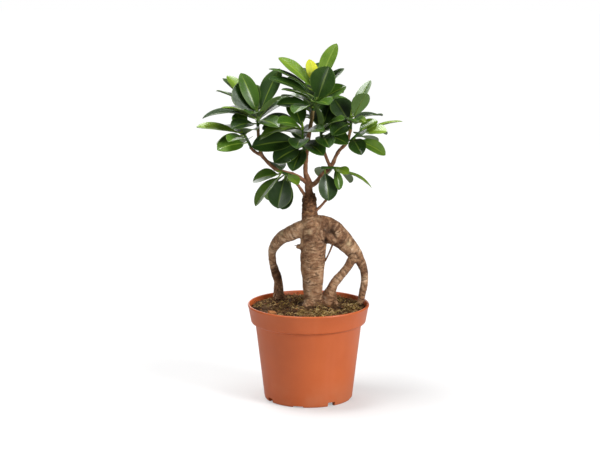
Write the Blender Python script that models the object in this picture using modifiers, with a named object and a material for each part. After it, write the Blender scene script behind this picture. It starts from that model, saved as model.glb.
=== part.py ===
"""A ginseng ficus (Ficus microcarpa) in a thin plastic nursery pot, built as separate solids.

The origin is the centre of the pot's base, on the surface that the pot stands on.
Metres, +Z up, -Y to the front. The tree's own points are millimetres above a level
under the soil's top, so the tree follows the pot's height.
"""

import itertools
import math

import bmesh
import bpy
from mathutils import Euler, Matrix, Vector, noise
from mathutils.bvhtree import BVHTree

MM = 0.001
COLLECTION = "ginseng_ficus"

# The pot, in millimetres.
POT_HEIGHT = 97.0
RIM_RADIUS = 61.0
RIM_TAPER = 3.0
RIM_BAND = 19.0
STEP_WIDTH = 4.6
FOOT_RADIUS = 44.6
POT_WALL = 1.3
FLOOR_LIFT = 5.6
FOOT_WIDTH = 2.6
PAD_RADIUS = 11.0
DRAIN_RADIUS = 3.4
DRAIN_CIRCLE = 27.0
DRAIN_COUNT = 6
NOTCH_COUNT = 4
NOTCH_TURN = 31.0
NOTCH_WIDTH = 8.0
NOTCH_HEIGHT = 4.4
DIP_WIDTH = 11.0
DIP_HEIGHT = 1.5
POT_STEPS = 40

# The soil and what lies on it.
SOIL_DROP = 4.5
SOIL_MOUND = 3.0
SOIL_RINGS = 6
CHIP_LENGTH = 9.0

# The tree, whose level is TREE_DROP under the rim. Girth scales root and stem radii,
# and leaf scale the leaves.
TREE_DROP = 10.0
TREE_SCALE = 1.0
# The roots' feet keep their place within the rim; FEET_RIM_RADIUS is the rim that their routes are
# set out for, and above FEET_HEIGHT the tree spreads by its own scale alone.
FEET_RIM_RADIUS = 61.0
FEET_HEIGHT = 60.0
ROOT_GIRTH = 1.0
ROOT_VOXEL = 1.3
ROOT_FACE_SHARE = 0.075
STEM_GIRTH = 1.0
LEAF_SCALE = 1.0
LEAF_THICKNESS = 0.7
LEAF_FOLD = 16.0
PETIOLE_WIDTH = 1.5
PETIOLE_SHARE = 0.12
LEAF_STATIONS = (0.0, PETIOLE_SHARE, 0.32, 0.58, 0.84, 1.0)
BLADE_START = 2
SHOOT_RADIUS = 1.5
SHOOT_TAPER = 0.3
GROWTH_SHARES = (1.0, 0.8, 0.6, 0.4)
TURN_STEP = 3
MOST_TURN = 39
GAP = 0.35
SOIL_GAP = 0.45
SLIVER = 0.04

soil_level = POT_HEIGHT - SOIL_DROP
tree_level = POT_HEIGHT - TREE_DROP


def clear_scene():
    for obj in list(bpy.data.objects):
        bpy.data.objects.remove(obj, do_unlink=True)
    for old in list(bpy.data.meshes):
        bpy.data.meshes.remove(old)


def new_collection(name, hidden=False):
    made = bpy.data.collections.new(name)
    made.hide_render = hidden
    bpy.context.scene.collection.children.link(made)
    return made


def material(name, colour, roughness, coat=0.0):
    made = bpy.data.materials.new(name)
    made.use_nodes = True
    shader = made.node_tree.nodes["Principled BSDF"]
    shader.inputs["Base Color"].default_value = (*colour, 1.0)
    shader.inputs["Roughness"].default_value = roughness
    shader.inputs["Metallic"].default_value = 0.0
    shader.inputs["Coat Weight"].default_value = coat
    return made


def add_object(name, mesh, look, smooth=True):
    obj = bpy.data.objects.new(name, mesh)
    parts.objects.link(obj)
    mesh.materials.clear()
    mesh.materials.append(look)
    if smooth:
        mesh.shade_smooth()
        mesh.set_sharp_from_angle(angle=math.radians(40))
    return obj


def hide_as_helper(obj):
    for old in list(obj.users_collection):
        old.objects.unlink(obj)
    helpers.objects.link(obj)
    obj.hide_render = True
    obj.display_type = "WIRE"


def evaluated_mesh(obj):
    graph = bpy.context.evaluated_depsgraph_get()
    made = bpy.data.meshes.new_from_object(obj.evaluated_get(graph), depsgraph=graph)
    made.transform(obj.matrix_world)
    return made


def boolean(obj, other, operation):
    modifier = obj.modifiers.new(f"{operation.lower()}_{other.name}", "BOOLEAN")
    modifier.operation = operation
    modifier.object = other
    modifier.solver = "EXACT"


def smooth_route(points, per_span=4):
    """Catmull-Rom points (x, y, z, radius) through the route's own points."""
    ends = [points[0], *points, points[-1]]
    route = []
    for before, start, end, after in zip(ends, ends[1:], ends[2:], ends[3:]):
        for step in range(per_span):
            t = step / per_span
            point = []
            for a, b, c, d in zip(before, start, end, after):
                square = 2 * a - 5 * b + 4 * c - d
                cube = 3 * b - a - 3 * c + d
                point.append(0.5 * (2 * b + (c - a) * t + square * t**2 + cube * t**3))
            route.append(point)
    route.append(list(points[-1]))
    return route


def tree_point(x, y, z):
    """World position, in metres, of a point of the tree given in millimetres above the tree's level."""
    rise = min(max(z / FEET_HEIGHT, 0.0), 1.0)
    foot_spread = RIM_RADIUS / FEET_RIM_RADIUS
    spread = foot_spread + (TREE_SCALE - foot_spread) * rise * rise * (3.0 - 2.0 * rise)
    return Vector((x * spread, y * spread, z * TREE_SCALE + tree_level)) * MM


def tube_mesh(name, points, girth, sides=2, per_span=4):
    """A closed tube along a route of (x, y, z, radius), as one welded mesh."""
    curve = bpy.data.curves.new(name, "CURVE")
    curve.dimensions = "3D"
    curve.bevel_depth = 1.0
    curve.bevel_resolution = sides
    curve.use_fill_caps = True
    route = smooth_route(points, per_span)
    spline = curve.splines.new("POLY")
    spline.points.add(len(route) - 1)
    for point, (x, y, z, radius) in zip(spline.points, route):
        point.co = (*tree_point(x, y, z), 1.0)
        point.radius = radius * girth * MM
    obj = bpy.data.objects.new(name, curve)
    bpy.context.scene.collection.objects.link(obj)
    made = evaluated_mesh(obj)
    bpy.data.objects.remove(obj)
    shape = bmesh.new()
    shape.from_mesh(made)
    bmesh.ops.remove_doubles(shape, verts=shape.verts, dist=1e-6)
    bmesh.ops.recalc_face_normals(shape, faces=shape.faces)
    shape.to_mesh(made)
    shape.free()
    return made


# ---- The pot ----


def band_bottom():
    return POT_HEIGHT - RIM_BAND


def inner_wall():
    """The pot's inner wall and floor as (radius, height), from the lip down to the axis."""
    band = band_bottom()
    band_radius = RIM_RADIUS - RIM_TAPER
    body_radius = band_radius - STEP_WIDTH
    return [
        (RIM_RADIUS - 0.4 - POT_WALL, POT_HEIGHT - 0.4),
        (RIM_RADIUS - 0.9 - POT_WALL, POT_HEIGHT - 1.8),
        (band_radius - POT_WALL, band + 3.4),
        (band_radius - 2.0 - POT_WALL, band + POT_WALL),
        (body_radius - POT_WALL, band - 1.8),
        (FOOT_RADIUS + 0.3 - POT_WALL, FLOOR_LIFT + 3.0),
        (FOOT_RADIUS - 3.0 - POT_WALL, FLOOR_LIFT + POT_WALL),
        (PAD_RADIUS + FLOOR_LIFT - 0.5, FLOOR_LIFT + POT_WALL),
        (PAD_RADIUS - 0.5, POT_WALL),
        (0.0, POT_WALL),
    ]


def wall_radius(height):
    """Radius of the pot's inner wall at a height."""
    wall = inner_wall()
    for (outer, above), (inner, below) in zip(wall, wall[1:]):
        if below <= height <= above:
            return inner + (outer - inner) * (height - below) / (above - below)
    raise ValueError(f"the pot has no wall at {height}")


def inset(profile, gap):
    """A profile that runs downwards, moved inwards by a gap."""
    normals = []
    for (outer, above), (inner, below) in zip(profile, profile[1:]):
        run = Vector((inner - outer, below - above)).normalized()
        normals.append(Vector((run.y, -run.x)))
    normals = [normals[0], *normals, normals[-1]]
    moved = []
    for point, before, after in zip(profile, normals, normals[1:]):
        shift = (before + after) * gap / (1.0 + before.dot(after))
        moved.append((max(point[0] + shift.x, 0.0), point[1] + shift.y))
    return moved


def turned(name, profile, look, steps):
    """A solid turned from a profile of (radius, height) that runs down the outer side."""
    mesh = bpy.data.meshes.new(name)
    shape = bmesh.new()
    points = [shape.verts.new((radius * MM, 0.0, height * MM)) for radius, height in profile]
    for start, end in zip(points, points[1:]):
        shape.edges.new((start, end))
    shape.to_mesh(mesh)
    shape.free()
    obj = add_object(name, mesh, look)
    screw = obj.modifiers.new("turn", "SCREW")
    screw.steps = steps
    screw.render_steps = steps
    screw.use_merge_vertices = True
    screw.merge_threshold = 0.00001
    return obj


def make_pot(look):
    top_radius = RIM_RADIUS
    band = band_bottom()
    band_radius = RIM_RADIUS - RIM_TAPER
    body_radius = band_radius - STEP_WIDTH
    outer = [
        (top_radius - 0.9, POT_HEIGHT),
        (top_radius - 0.1, POT_HEIGHT - 0.4),
        (top_radius + 0.2, POT_HEIGHT - 1.4),
        (top_radius - 0.4, POT_HEIGHT - 2.6),
        (band_radius, band + 2.6),
        (band_radius - 0.7, band + 0.8),
        (band_radius - 2.0, band),
        (body_radius + 1.0, band - 0.6),
        (body_radius, band - 1.8),
        (FOOT_RADIUS, 2.4),
        (FOOT_RADIUS - 0.7, 0.7),
        (FOOT_RADIUS - 1.8, 0.0),
        (FOOT_RADIUS - 1.8 - FOOT_WIDTH, 0.0),
        (FOOT_RADIUS - 3.0 - FOOT_WIDTH, FLOOR_LIFT),
        (PAD_RADIUS + FLOOR_LIFT, FLOOR_LIFT),
        (PAD_RADIUS, 0.0),
        (0.0, 0.0),
    ]
    inner = [*reversed(inner_wall()), (top_radius - 0.9, POT_HEIGHT)]
    pot = turned("pot", outer + inner, look, POT_STEPS)
    for index in range(DRAIN_COUNT):
        angle = 2 * math.pi * index / DRAIN_COUNT
        across = Vector((math.cos(angle), math.sin(angle), 0.0))
        hole = cutter_cylinder(f"drain_{index}", DRAIN_RADIUS, 3 * FLOOR_LIFT)
        hole.location = across * DRAIN_CIRCLE * MM + Vector((0, 0, FLOOR_LIFT * MM))
        boolean(pot, hole, "DIFFERENCE")
    for index in range(2 * NOTCH_COUNT):
        angle = math.radians(NOTCH_TURN - 90.0) + math.pi * index / NOTCH_COUNT
        across = Vector((math.cos(angle), math.sin(angle), 0.0))
        width, height = (DIP_WIDTH, DIP_HEIGHT) if index % 2 else (NOTCH_WIDTH, NOTCH_HEIGHT)
        notch = cutter_box(f"notch_{index}", (4 * FOOT_WIDTH, width, 2 * height))
        notch.location = across * (FOOT_RADIUS - FOOT_WIDTH) * MM
        notch.rotation_euler.z = angle
        boolean(pot, notch, "DIFFERENCE")
    return pot


def cutter_cylinder(name, radius, depth):
    shape = bmesh.new()
    bmesh.ops.create_cone(
        shape, cap_ends=True, segments=16, radius1=radius * MM, radius2=radius * MM, depth=depth * MM
    )
    return helper_from(name, shape)


def cutter_box(name, size):
    shape = bmesh.new()
    bmesh.ops.create_cube(shape, size=1.0)
    bmesh.ops.scale(shape, verts=shape.verts, vec=Vector(size) * MM)
    return helper_from(name, shape)


def helper_from(name, shape):
    mesh = bpy.data.meshes.new(name)
    shape.to_mesh(mesh)
    shape.free()
    obj = bpy.data.objects.new(name, mesh)
    hide_as_helper(obj)
    return obj


# ---- The soil, moss and chips ----


def soil_height(x, y):
    """Height of the soil's top, in millimetres: a low mound at the middle."""
    reach = min(math.hypot(x, y) / wall_radius(soil_level), 1.0)
    return soil_level + SOIL_MOUND * (0.5 + 0.5 * math.cos(math.pi * reach))


def make_soil(look):
    edge = wall_radius(soil_level) - GAP
    rings = [edge * ring / SOIL_RINGS for ring in range(SOIL_RINGS + 1)]
    top = [(radius, soil_height(radius, 0.0)) for radius in rings]
    side = [point for point in inset(inner_wall(), GAP) if point[1] < soil_level]
    return turned("soil", top + side, look, POT_STEPS)


def lump(name, look, place, size, seed):
    """A low clump lying on the soil."""
    shape = bmesh.new()
    bmesh.ops.create_uvsphere(shape, u_segments=14, v_segments=8, radius=1.0)
    for vertex in shape.verts:
        bump = 1.0 + 0.18 * noise.noise(vertex.co * 2.1 + Vector((seed, 0, 0)))
        x = place[0] + vertex.co.x * bump * size[0]
        y = place[1] + vertex.co.y * bump * size[1]
        rise = max(vertex.co.z * bump, 0.0) * size[2]
        vertex.co = Vector((x, y, soil_height(x, y) + GAP + rise)) * MM
    mesh = bpy.data.meshes.new(name)
    shape.to_mesh(mesh)
    shape.free()
    return add_object(name, mesh, look)


def chip(name, look, place, size, turn):
    """A flake of bark with bevelled edges, lying on the soil."""
    shape = bmesh.new()
    bmesh.ops.create_cube(shape, size=1.0)
    bmesh.ops.scale(shape, verts=shape.verts, vec=Vector(size) * MM)
    edge = 0.25 * min(size) * MM
    bmesh.ops.bevel(shape, geom=shape.edges[:], offset=edge, segments=1, affect="EDGES", profile=0.5)
    angles = Euler([math.radians(value) for value in turn])
    bmesh.ops.rotate(shape, verts=shape.verts, cent=(0, 0, 0), matrix=angles.to_matrix())
    lowest = min(vertex.co.z for vertex in shape.verts)
    lift = (soil_height(*place) + 2.0 * GAP) * MM - lowest
    bmesh.ops.translate(shape, verts=shape.verts, vec=Vector((*(value * MM for value in place), lift)))
    mesh = bpy.data.meshes.new(name)
    shape.to_mesh(mesh)
    shape.free()
    return add_object(name, mesh, look, smooth=False)


MOSS = [
    ("moss_front", (8, -38), (20, 10, 4.5), 1),
    ("moss_right", (42, -17), (8, 12, 6.5), 5),
]
CHIPS = [
    ("bark_chip", (-36, -33), (20, 12, 35)),
]

# ---- The rootstock ----

TRUNK = [
    (6, 2, -18, 5.5),
    (4.5, 1, 8, 8.8),
    (4.5, 0, 23, 9.6),
    (4.5, 0, 33, 11.0),
    (4.2, 0, 45, 11.8),
    (4.5, 0, 58, 12.8),
    (5, 0, 74, 13.0),
    (4, 0, 86, 11.6),
    (2.5, 0, 94, 9.4),
    (1.4, 0, 101, 8.0),
    (0.9, 0, 114, 7.2),
    (0.5, 0, 122, 5.8),
]
LEFT_ARM = [
    (3, 0, 85, 8.5),
    (-6, 1, 86, 8.5),
    (-13, 3, 83, 8.0),
    (-22, 8, 78, 7.2),
    (-30, 14, 71, 6.0),
    (-35.5, 20, 62, 4.7),
    (-37, 24, 53, 4.1),
    (-36, 28, 43, 3.9),
    (-33.5, 31, 34, 4.4),
    (-31, 33, 26, 4.4),
    (-30.5, 34, 17, 5.0),
    (-30, 35, 6, 6.2),
    (-27, 31, -14, 4.0),
]
RIGHT_ARM = [
    (8, 0, 82, 12.0),
    (17, 0, 84, 12.6),
    (25, 0, 82, 12.2),
    (34.5, 2, 74, 9.6),
    (42.5, 4, 65, 8.0),
    (49.5, 7, 56, 6.0),
    (55, 10, 45, 4.3),
    (57, 12, 33, 3.7),
    (56, 13, 22, 3.5),
    (53, 14, 9, 3.4),
    (49, 14, -1, 3.2),
    (43, 12, -15, 2.8),
]
UPPER_ROOT = [
    (4, -3, 96, 5.0),
    (11, -5, 96.5, 4.6),
    (20.5, -6, 94.5, 4.6),
    (27.5, -5, 90, 4.6),
    (34, -3, 82, 4.6),
]
DIAGONAL_ROOT = [
    (47, 5, 58, 5.0),
    (36, 4, 42, 4.3),
    (25, 4, 28, 4.6),
    (19, 4, 15, 6.2),
    (15, 3, 2, 6.8),
    (12, 2, -12, 5.0),
]
BASE_CLUMP = [
    (24, 10, 24, 3.6),
    (23, 9, 13, 5.6),
    (25, 9, 3, 5.8),
    (27, 10, -10, 4.0),
]
FRONT_FLARE = [
    (4, -2, 14, 7.0),
    (-4, -8, 3, 5.6),
    (-12, -13, -8, 3.6),
]
BACK_FLARE = [
    (6, 4, 16, 7.0),
    (4, 14, 4, 5.4),
    (1, 22, -8, 3.6),
]
SNAG = [
    (-4, 0, 66, 3.6),
    (-9.5, -1, 68, 2.6),
    (-12, -1, 69, 2.0),
]
ROOT_ROUTES = [
    TRUNK,
    LEFT_ARM,
    RIGHT_ARM,
    UPPER_ROOT,
    DIAGONAL_ROOT,
    BASE_CLUMP,
    FRONT_FLARE,
    BACK_FLARE,
    SNAG,
]


def join_meshes(name, meshes, look):
    shape = bmesh.new()
    for mesh in meshes:
        shape.from_mesh(mesh)
    joined = bpy.data.meshes.new(name)
    shape.to_mesh(joined)
    shape.free()
    return add_object(name, joined, look)


def make_rootstock(look):
    """Trunk and prop roots, which grew as one piece: tubes fused into one skin."""
    tubes = [tube_mesh(f"root_{index}", route, ROOT_GIRTH, 4) for index, route in enumerate(ROOT_ROUTES)]
    rootstock = join_meshes("rootstock", tubes, look)
    fuse = rootstock.modifiers.new("fuse", "REMESH")
    fuse.mode = "VOXEL"
    fuse.voxel_size = ROOT_VOXEL * MM
    smooth = rootstock.modifiers.new("smooth", "SMOOTH")
    smooth.factor = 0.5
    smooth.iterations = 4
    thin = rootstock.modifiers.new("thin", "DECIMATE")
    thin.ratio = ROOT_FACE_SHARE
    return rootstock


def swollen_copy(name, obj, swell):
    """A helper with the object's shape, grown outwards by a distance."""
    mesh = evaluated_mesh(obj)
    helper = bpy.data.objects.new(name, mesh)
    hide_as_helper(helper)
    grow = helper.modifiers.new("grow", "DISPLACE")
    grow.strength = swell * MM
    grow.mid_level = 0.0
    return helper


# ---- The scions: routes of (x, y, z, radius), each list of routes grown as one piece ----

SCIONS = {
    "centre_scion": [
        [(0.5, 0, 123, 4.0), (0, 0, 128, 3.9), (0, 0, 134, 3.4), (-3, 1, 143, 2.4), (-2.5, 1, 157, 2.2)],
        [(0, 0, 130, 3.0), (6, -1, 132, 2.5), (13.5, -2, 141, 2.2), (22, -2, 149, 2.1), (26, -2, 157, 1.9)],
        [(-2.6, 1.1, 154, 2.0), (-1, 2, 170, 2.0), (2, 2, 190, 1.9), (4.5, 1, 205, 1.8)],
        [(21.6, -2, 148.4, 1.7), (16, -3, 163, 1.6), (12.5, -4, 177, 1.5)],
        [(24.9, -2.1, 155, 1.75), (30, -2, 165, 1.8), (38, -3, 174, 1.7), (41.5, -3, 187, 1.6)],
    ],
    "left_scion": [
        [
            (-6.2, -1.4, 136.4, 2.1),
            (-14, -3, 141, 2.1),
            (-30, -5, 146, 2.0),
            (-38, -6, 152, 1.9),
            (-48, -7, 163, 1.8),
        ],
        [(-46, -7, 161, 1.8), (-49, -6, 170, 1.7), (-49.5, -6, 180, 1.6), (-50, -6, 189, 1.6)],
        [(-46, -7, 161, 1.7), (-53, -8, 165, 1.5), (-58, -8, 170, 1.5)],
    ],
    "back_twig": [
        [(-1, 4.8, 172, 1.7), (-1, 12, 177, 1.6), (1, 22, 183, 1.5), (3, 28, 190, 1.5)],
    ],
    "low_left_twig": [
        [(-5.8, -4, 124, 1.6), (-9.5, -6, 130, 1.5), (-12.6, -7, 134.5, 1.4), (-15, -7.8, 138.4, 1.3)],
    ],
    "low_right_twig": [
        [(9.5, -3, 107, 1.4), (14, -5, 112, 1.3), (22, -6, 122, 1.2), (29, -7, 131, 1.1)],
    ],
}


def make_scion(name, routes, bark, look):
    """A branch, cut back where the bark that it is grafted to comes within the gap."""
    tubes = [tube_mesh(f"{name}_{index}", route, STEM_GIRTH, 2, 3) for index, route in enumerate(routes)]
    scion = united(name, tubes, look)
    boolean(scion, bark, "DIFFERENCE")
    return scion


def united(name, meshes, look):
    """One body made of meshes that run into each other."""
    obj = add_object(name, meshes[0], look)
    joined = []
    for index, mesh in enumerate(meshes[1:]):
        helper = bpy.data.objects.new(f"{name}_joined_{index}", mesh)
        hide_as_helper(helper)
        boolean(obj, helper, "UNION")
        obj.modifiers[-1].use_hole_tolerant = True
        joined.append(helper)
    mesh = evaluated_mesh(obj)
    obj.modifiers.clear()
    obj.data = mesh
    for helper in joined:
        bpy.data.objects.remove(helper)
    clean_union(mesh)
    return obj


def clean_union(mesh):
    """Removes the inside-out skins of small pockets that a union seals in, and its slivers and holes."""
    shape = bmesh.new()
    shape.from_mesh(mesh)
    left = set(shape.faces)
    while left:
        island = [left.pop()]
        for face in island:
            for edge in face.edges:
                for other in edge.link_faces:
                    if other in left:
                        left.remove(other)
                        island.append(other)
        volume = sum(face.calc_area() * face.normal.dot(face.verts[0].co) for face in island)
        if volume < 0.0:
            bmesh.ops.delete(shape, geom=island, context="FACES")
    bmesh.ops.remove_doubles(shape, verts=shape.verts, dist=SLIVER * MM)
    bmesh.ops.dissolve_degenerate(shape, dist=SLIVER * MM, edges=shape.edges)
    bmesh.ops.holes_fill(shape, edges=[edge for edge in shape.edges if edge.is_boundary])
    bmesh.ops.triangulate(shape, faces=shape.faces)
    shape.to_mesh(mesh)
    shape.free()


# ---- The leaves ----


def blade_half_width(along, width):
    """Half the leaf's width at a share of its length: a petiole, then an oval, pointed blade."""
    if along <= PETIOLE_SHARE:
        return 0.5 * PETIOLE_WIDTH
    share = (along - PETIOLE_SHARE) / (1.0 - PETIOLE_SHARE)
    oval = 2.76 * share**0.75 * (1.0 - share) ** 0.72 * (0.92 + 0.16 * share)
    return max(0.5 * width * oval, 0.25)


def leaf_mesh(name, base, reach, width, curl, roll, extra=0.0, first=0):
    """A folded, arched blade from its base to base + reach, in millimetres.

    Extra thickens and widens it, and first leaves out that many stations at the base.
    """
    chord = Vector(reach)
    length = chord.length
    ahead = chord.normalized()
    up = Vector((0, 0, 1)) - ahead * ahead.z
    to_front = 1.0 if ahead.x >= 0.0 else -1.0
    up = Matrix.Rotation(math.radians(roll * to_front), 3, ahead) @ up.normalized()
    side = ahead.cross(up)
    bend = math.radians(max(curl, 1.0))
    arc = length / (2.0 * math.sin(0.5 * bend))
    fold = math.radians(LEAF_FOLD)
    stations = LEAF_STATIONS[first:]
    shape = bmesh.new()
    bmesh.ops.create_grid(shape, x_segments=len(stations) - 1, y_segments=2, size=0.5)
    for vertex in shape.verts:
        along = stations[round((vertex.co.x + 0.5) * (len(stations) - 1))]
        across = round(vertex.co.y * 2.0)
        angle = bend * (along - 0.5)
        middle = ahead * (0.5 * length + arc * math.sin(angle))
        middle += up * arc * (math.cos(angle) - math.cos(0.5 * bend))
        normal = up * math.cos(angle) + ahead * math.sin(angle)
        half = blade_half_width(along, width) + extra
        spread = side * across * half * math.cos(fold) + normal * abs(across) * half * math.sin(fold)
        vertex.co = (Vector(base) + middle + spread) * MM
    bmesh.ops.recalc_face_normals(shape, faces=shape.faces)
    thickness = (LEAF_THICKNESS + 2.0 * extra) * MM
    bmesh.ops.solidify(shape, geom=shape.faces[:], thickness=thickness)
    bmesh.ops.recalc_face_normals(shape, faces=shape.faces)
    mesh = bpy.data.meshes.new(name)
    shape.to_mesh(mesh)
    shape.free()
    return mesh


# Each spray: its shoot from start to end, then its leaves as (share along the shoot, tip from base x, y, z,
# width, curl, roll), where a positive roll turns the face to the front. The first leaves,
# as many as "single", are nodes of their own; the rest grow with the shoot.
SPRAYS = {
    "left_rosette": {
        "shoot": [(-50, -6, 190), (-50.5, -6, 204)],
        "single": 5,
        "leaves": [
            (0.8, -19, 3, 32, 32, 15, 60),
            (0.9, 22, 16, 43, 21, 20, 25),
            (0.5, -54, -8, 2, 18, 60, 10),
            (0.9, -45, 18, 20, 17, 35, 0),
            (0.2, -25, -24, -2, 20, 40, 20),
            (0.5, 23, -6, 25, 17, 25, -10),
            (0.96, -28, 26, 38, 18, 20, 15),
            (0.4, 21, -24, -3, 20, 40, 20),
            (0.93, -33, 36, 36, 17, 25, 0),
            (0.8, -34, 10, 27, 18, 30, 20),
            (0.43, -35, -14, 14, 16, 35, 0),
            (0.91, 0, 22, 28, 22, 20, 20),
            (0.6, -6, -34, 8, 21, 50, 0),
            (0.37, 30, 26, 16, 21, 40, 0),
            (0.3, -10, 42, 6, 21, 45, 0),
            (0.53, -38, 28, 4, 20, 40, 0),
            (0.1, 14, 36, -10, 20, 45, 0),
            (0.13, 34, 6, 0, 20, 45, 10),
        ],
    },
    "left_low": {
        "shoot": [(-58, -8, 172), (-65, -9, 186)],
        "single": 3,
        "leaves": [
            (0.9, -46, -5, 6, 16, 25, 20),
            (0.2, -30, -20, -5, 21, 35, 35),
            (0.7, -25, -14, -11, 14, 75, -20),
            (0.5, -18, -28, 0, 18, 35, 10),
            (0.96, -6, 18, 16, 16, 20, 10),
            (0.53, -32, 30, 6, 19, 40, 0),
            (0.3, -8, 38, -8, 19, 40, 0),
            (0.7, 10, -26, 10, 17, 40, 0),
        ],
    },
    "top_rosette": {
        "shoot": [(4.7, 1, 206), (6, 0, 218), (8, 0, 231)],
        "single": 7,
        "leaves": [
            (0.35, 13, -5, 35, 29, 15, 85),
            (0.95, 20, 18, 40, 17, 15, 20),
            (0.96, -8, 12, 24, 13, 10, 10),
            (0.8, -37, 14, 30, 18, 25, 20),
            (0.7, -47, 4, 20, 15, 30, 5),
            (0.5, -44, -6, 21, 18, 30, 20),
            (0.5, 29, 12, 27, 17, 25, 10),
            (0.15, 30, 0, 22, 20, 25, 35),
            (0.3, -32, -16, 14, 15, 30, 5),
            (0.06, -36, -4, 4, 18, 35, 30),
            (0.18, 14, -32, 4, 22, 45, 10),
            (0.9, 12, 30, 28, 18, 25, 0),
            (0.7, -18, 36, 20, 20, 35, 0),
            (0.4, 34, 26, 12, 20, 40, 0),
            (0.33, 4, 42, 8, 21, 45, 0),
            (0.2, -32, 32, 4, 20, 40, 0),
            (0.08, -18, -32, -2, 20, 50, 0),
        ],
    },
    "right_rosette": {
        "shoot": [(41.6, -3, 188.5), (42, -3, 200)],
        "single": 4,
        "leaves": [
            (0.5, -16, 10, 21, 25, 25, 35),
            (0.8, 15, -10, 26, 18, 35, -40),
            (0.3, -19, -24, -8, 19, 40, 25),
            (0.9, 20, 24, 34, 14, 20, 0),
            (0.6, 17, -8, 8, 12, 30, 10),
            (0.5, 4, -32, 4, 19, 45, 0),
            (0.63, -14, 36, 16, 20, 35, 0),
            (0.4, 32, 26, 4, 20, 40, 0),
            (0.2, 6, 42, -4, 20, 45, 0),
            (0.3, -34, 22, 8, 19, 40, 10),
        ],
    },
    "right_side": {
        "shoot": [(42.6, -6, 176.5), (48, -5, 182), (53, -4, 186)],
        "single": 3,
        "leaves": [
            (0.9, 41, 6, 9, 11, 30, 0),
            (0.9, 25, -10, 1, 17, 30, 25),
            (0.2, 31, -8, -16, 18, 30, 30),
            (0.6, 20, 10, 8, 17, 25, 35),
            (0.1, 8, -26, -12, 18, 40, 20),
            (0.63, 3, -28, 2, 14, 40, 10),
            (0.57, 30, 28, -2, 19, 40, 0),
            (0.3, 22, 32, -12, 19, 40, 0),
        ],
    },
    "centre_front": {
        "shoot": [(-4.5, -2, 166), (-6, -9, 178), (-6, -12, 190)],
        "single": 5,
        "leaves": [
            (0.45, -50, -8, -5, 24, 30, 50),
            (0.95, -42, -4, -13, 16, 65, 20),
            (0.2, -28, -22, -10, 23, 35, 45),
            (0.9, -40, 14, 0, 20, 45, 35),
            (0.8, 20, -24, 4, 18, 40, 20),
            (0.1, -10, -26, -18, 20, 35, 10),
            (0.9, -24, -26, 10, 20, 40, 30),
            (0.5, -6, -34, -4, 21, 45, 0),
            (0.4, 20, -26, -10, 20, 40, 20),
            (0.95, -10, 18, 28, 20, 25, 20),
            (0.6, -26, 34, 0, 20, 40, 0),
            (0.3, 12, 36, -2, 20, 40, 0),
        ],
    },
    "back_spray": {
        "shoot": [(3.4, 29, 191.5), (4, 33, 203)],
        "single": 0,
        "leaves": [
            (0.9, -26, 10, 32, 20, 25, 20),
            (0.93, 24, 12, 32, 20, 25, 20),
            (0.7, -38, 14, 10, 20, 40, 10),
            (0.73, 36, 16, 10, 20, 40, 10),
            (0.5, -18, 38, 8, 20, 45, 0),
            (0.53, 18, 38, 10, 20, 45, 0),
            (0.87, 2, 26, 34, 20, 20, 0),
            (0.2, 2, 42, -8, 20, 45, 0),
            (0.23, -30, 24, -12, 20, 45, 0),
            (0.17, 30, 26, -12, 20, 45, 0),
        ],
    },
    "right_inner": {
        "shoot": [(12.4, -4.4, 179), (12, -5, 190)],
        "single": 3,
        "leaves": [
            (0.8, 10, 14, 26, 20, 25, 20),
            (0.2, 26, -20, -6, 20, 40, 30),
            (0.6, -8, -14, 30, 20, 25, 40),
            (0.6, 24, -22, 12, 20, 35, 20),
            (0.1, 12, -30, -12, 20, 40, 10),
            (0.5, 30, 20, 10, 19, 35, 0),
            (0.3, 16, 38, -4, 20, 40, 0),
            (0.53, -10, 38, 12, 20, 40, 0),
        ],
    },
    "low_left": {
        "shoot": [(-18, -8.5, 142), (-27, -10, 145)],
        "single": 4,
        "leaves": [
            (0.5, -8, -12, -33, 26, 25, 20),
            (0.96, -20, -6, -37, 23, 20, 25),
            (0.1, -7, 0, -35, 21, 20, 70),
            (0.96, -28, 4, -15, 21, 30, 30),
            (0.3, 10, -16, -8, 12, 30, 10),
            (0.9, -20, 24, -4, 19, 45, 10),
            (0.5, -14, 32, -20, 20, 40, 0),
            (0.33, 14, 30, -20, 19, 40, 0),
        ],
    },
    "low_right": {
        "shoot": [(15, -6.5, 149), (29, -8, 149)],
        "single": 3,
        "leaves": [
            (0.06, 4, -8, -32, 21, 25, 10),
            (0.85, 12, -14, -4, 13, 40, 20),
            (0.95, 34, -4, -19, 11, 45, 0),
            (0.8, 4, -8, -21, 10, 30, 0),
            (0.7, 14, -2, -17, 9, 20, 0),
            (0.5, 16, 30, -12, 19, 40, 0),
            (0.2, -4, 34, -16, 19, 40, 0),
        ],
    },
}


def spray_point(route, share):
    """The point at a share of a shoot's length, and the shoot's direction there."""
    points = [Vector(point) for point in route]
    lengths = [(end - start).length for start, end in zip(points, points[1:])]
    left = share * sum(lengths)
    for start, end, length in zip(points, points[1:], lengths):
        if left <= length:
            return start.lerp(end, left / length), (end - start).normalized()
        left -= length
    return points[-1], (points[-1] - points[-2]).normalized()


def tree_of(mesh):
    corners = [vertex.co for vertex in mesh.vertices]
    return BVHTree.FromPolygons(corners, [face.vertices for face in mesh.polygons])


def turns():
    """Turns to try, smallest first: about the vertical, upwards, and about the leaf's length.

    Each is in degrees, and comes with a share of the leaf's size, because a leaf with no
    room at its full size stays small.
    """
    steps = [step for step in itertools.product((0, 1, -1), repeat=3) if any(step)]
    steps.sort(key=lambda step: sum(map(abs, step)))
    for growth in GROWTH_SHARES:
        yield (0, 0, 0, growth)
        for size in range(TURN_STEP, MOST_TURN + 1, TURN_STEP):
            for swing, lift, twist in steps:
                yield (swing * size, lift * size, twist * size, growth)


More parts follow.
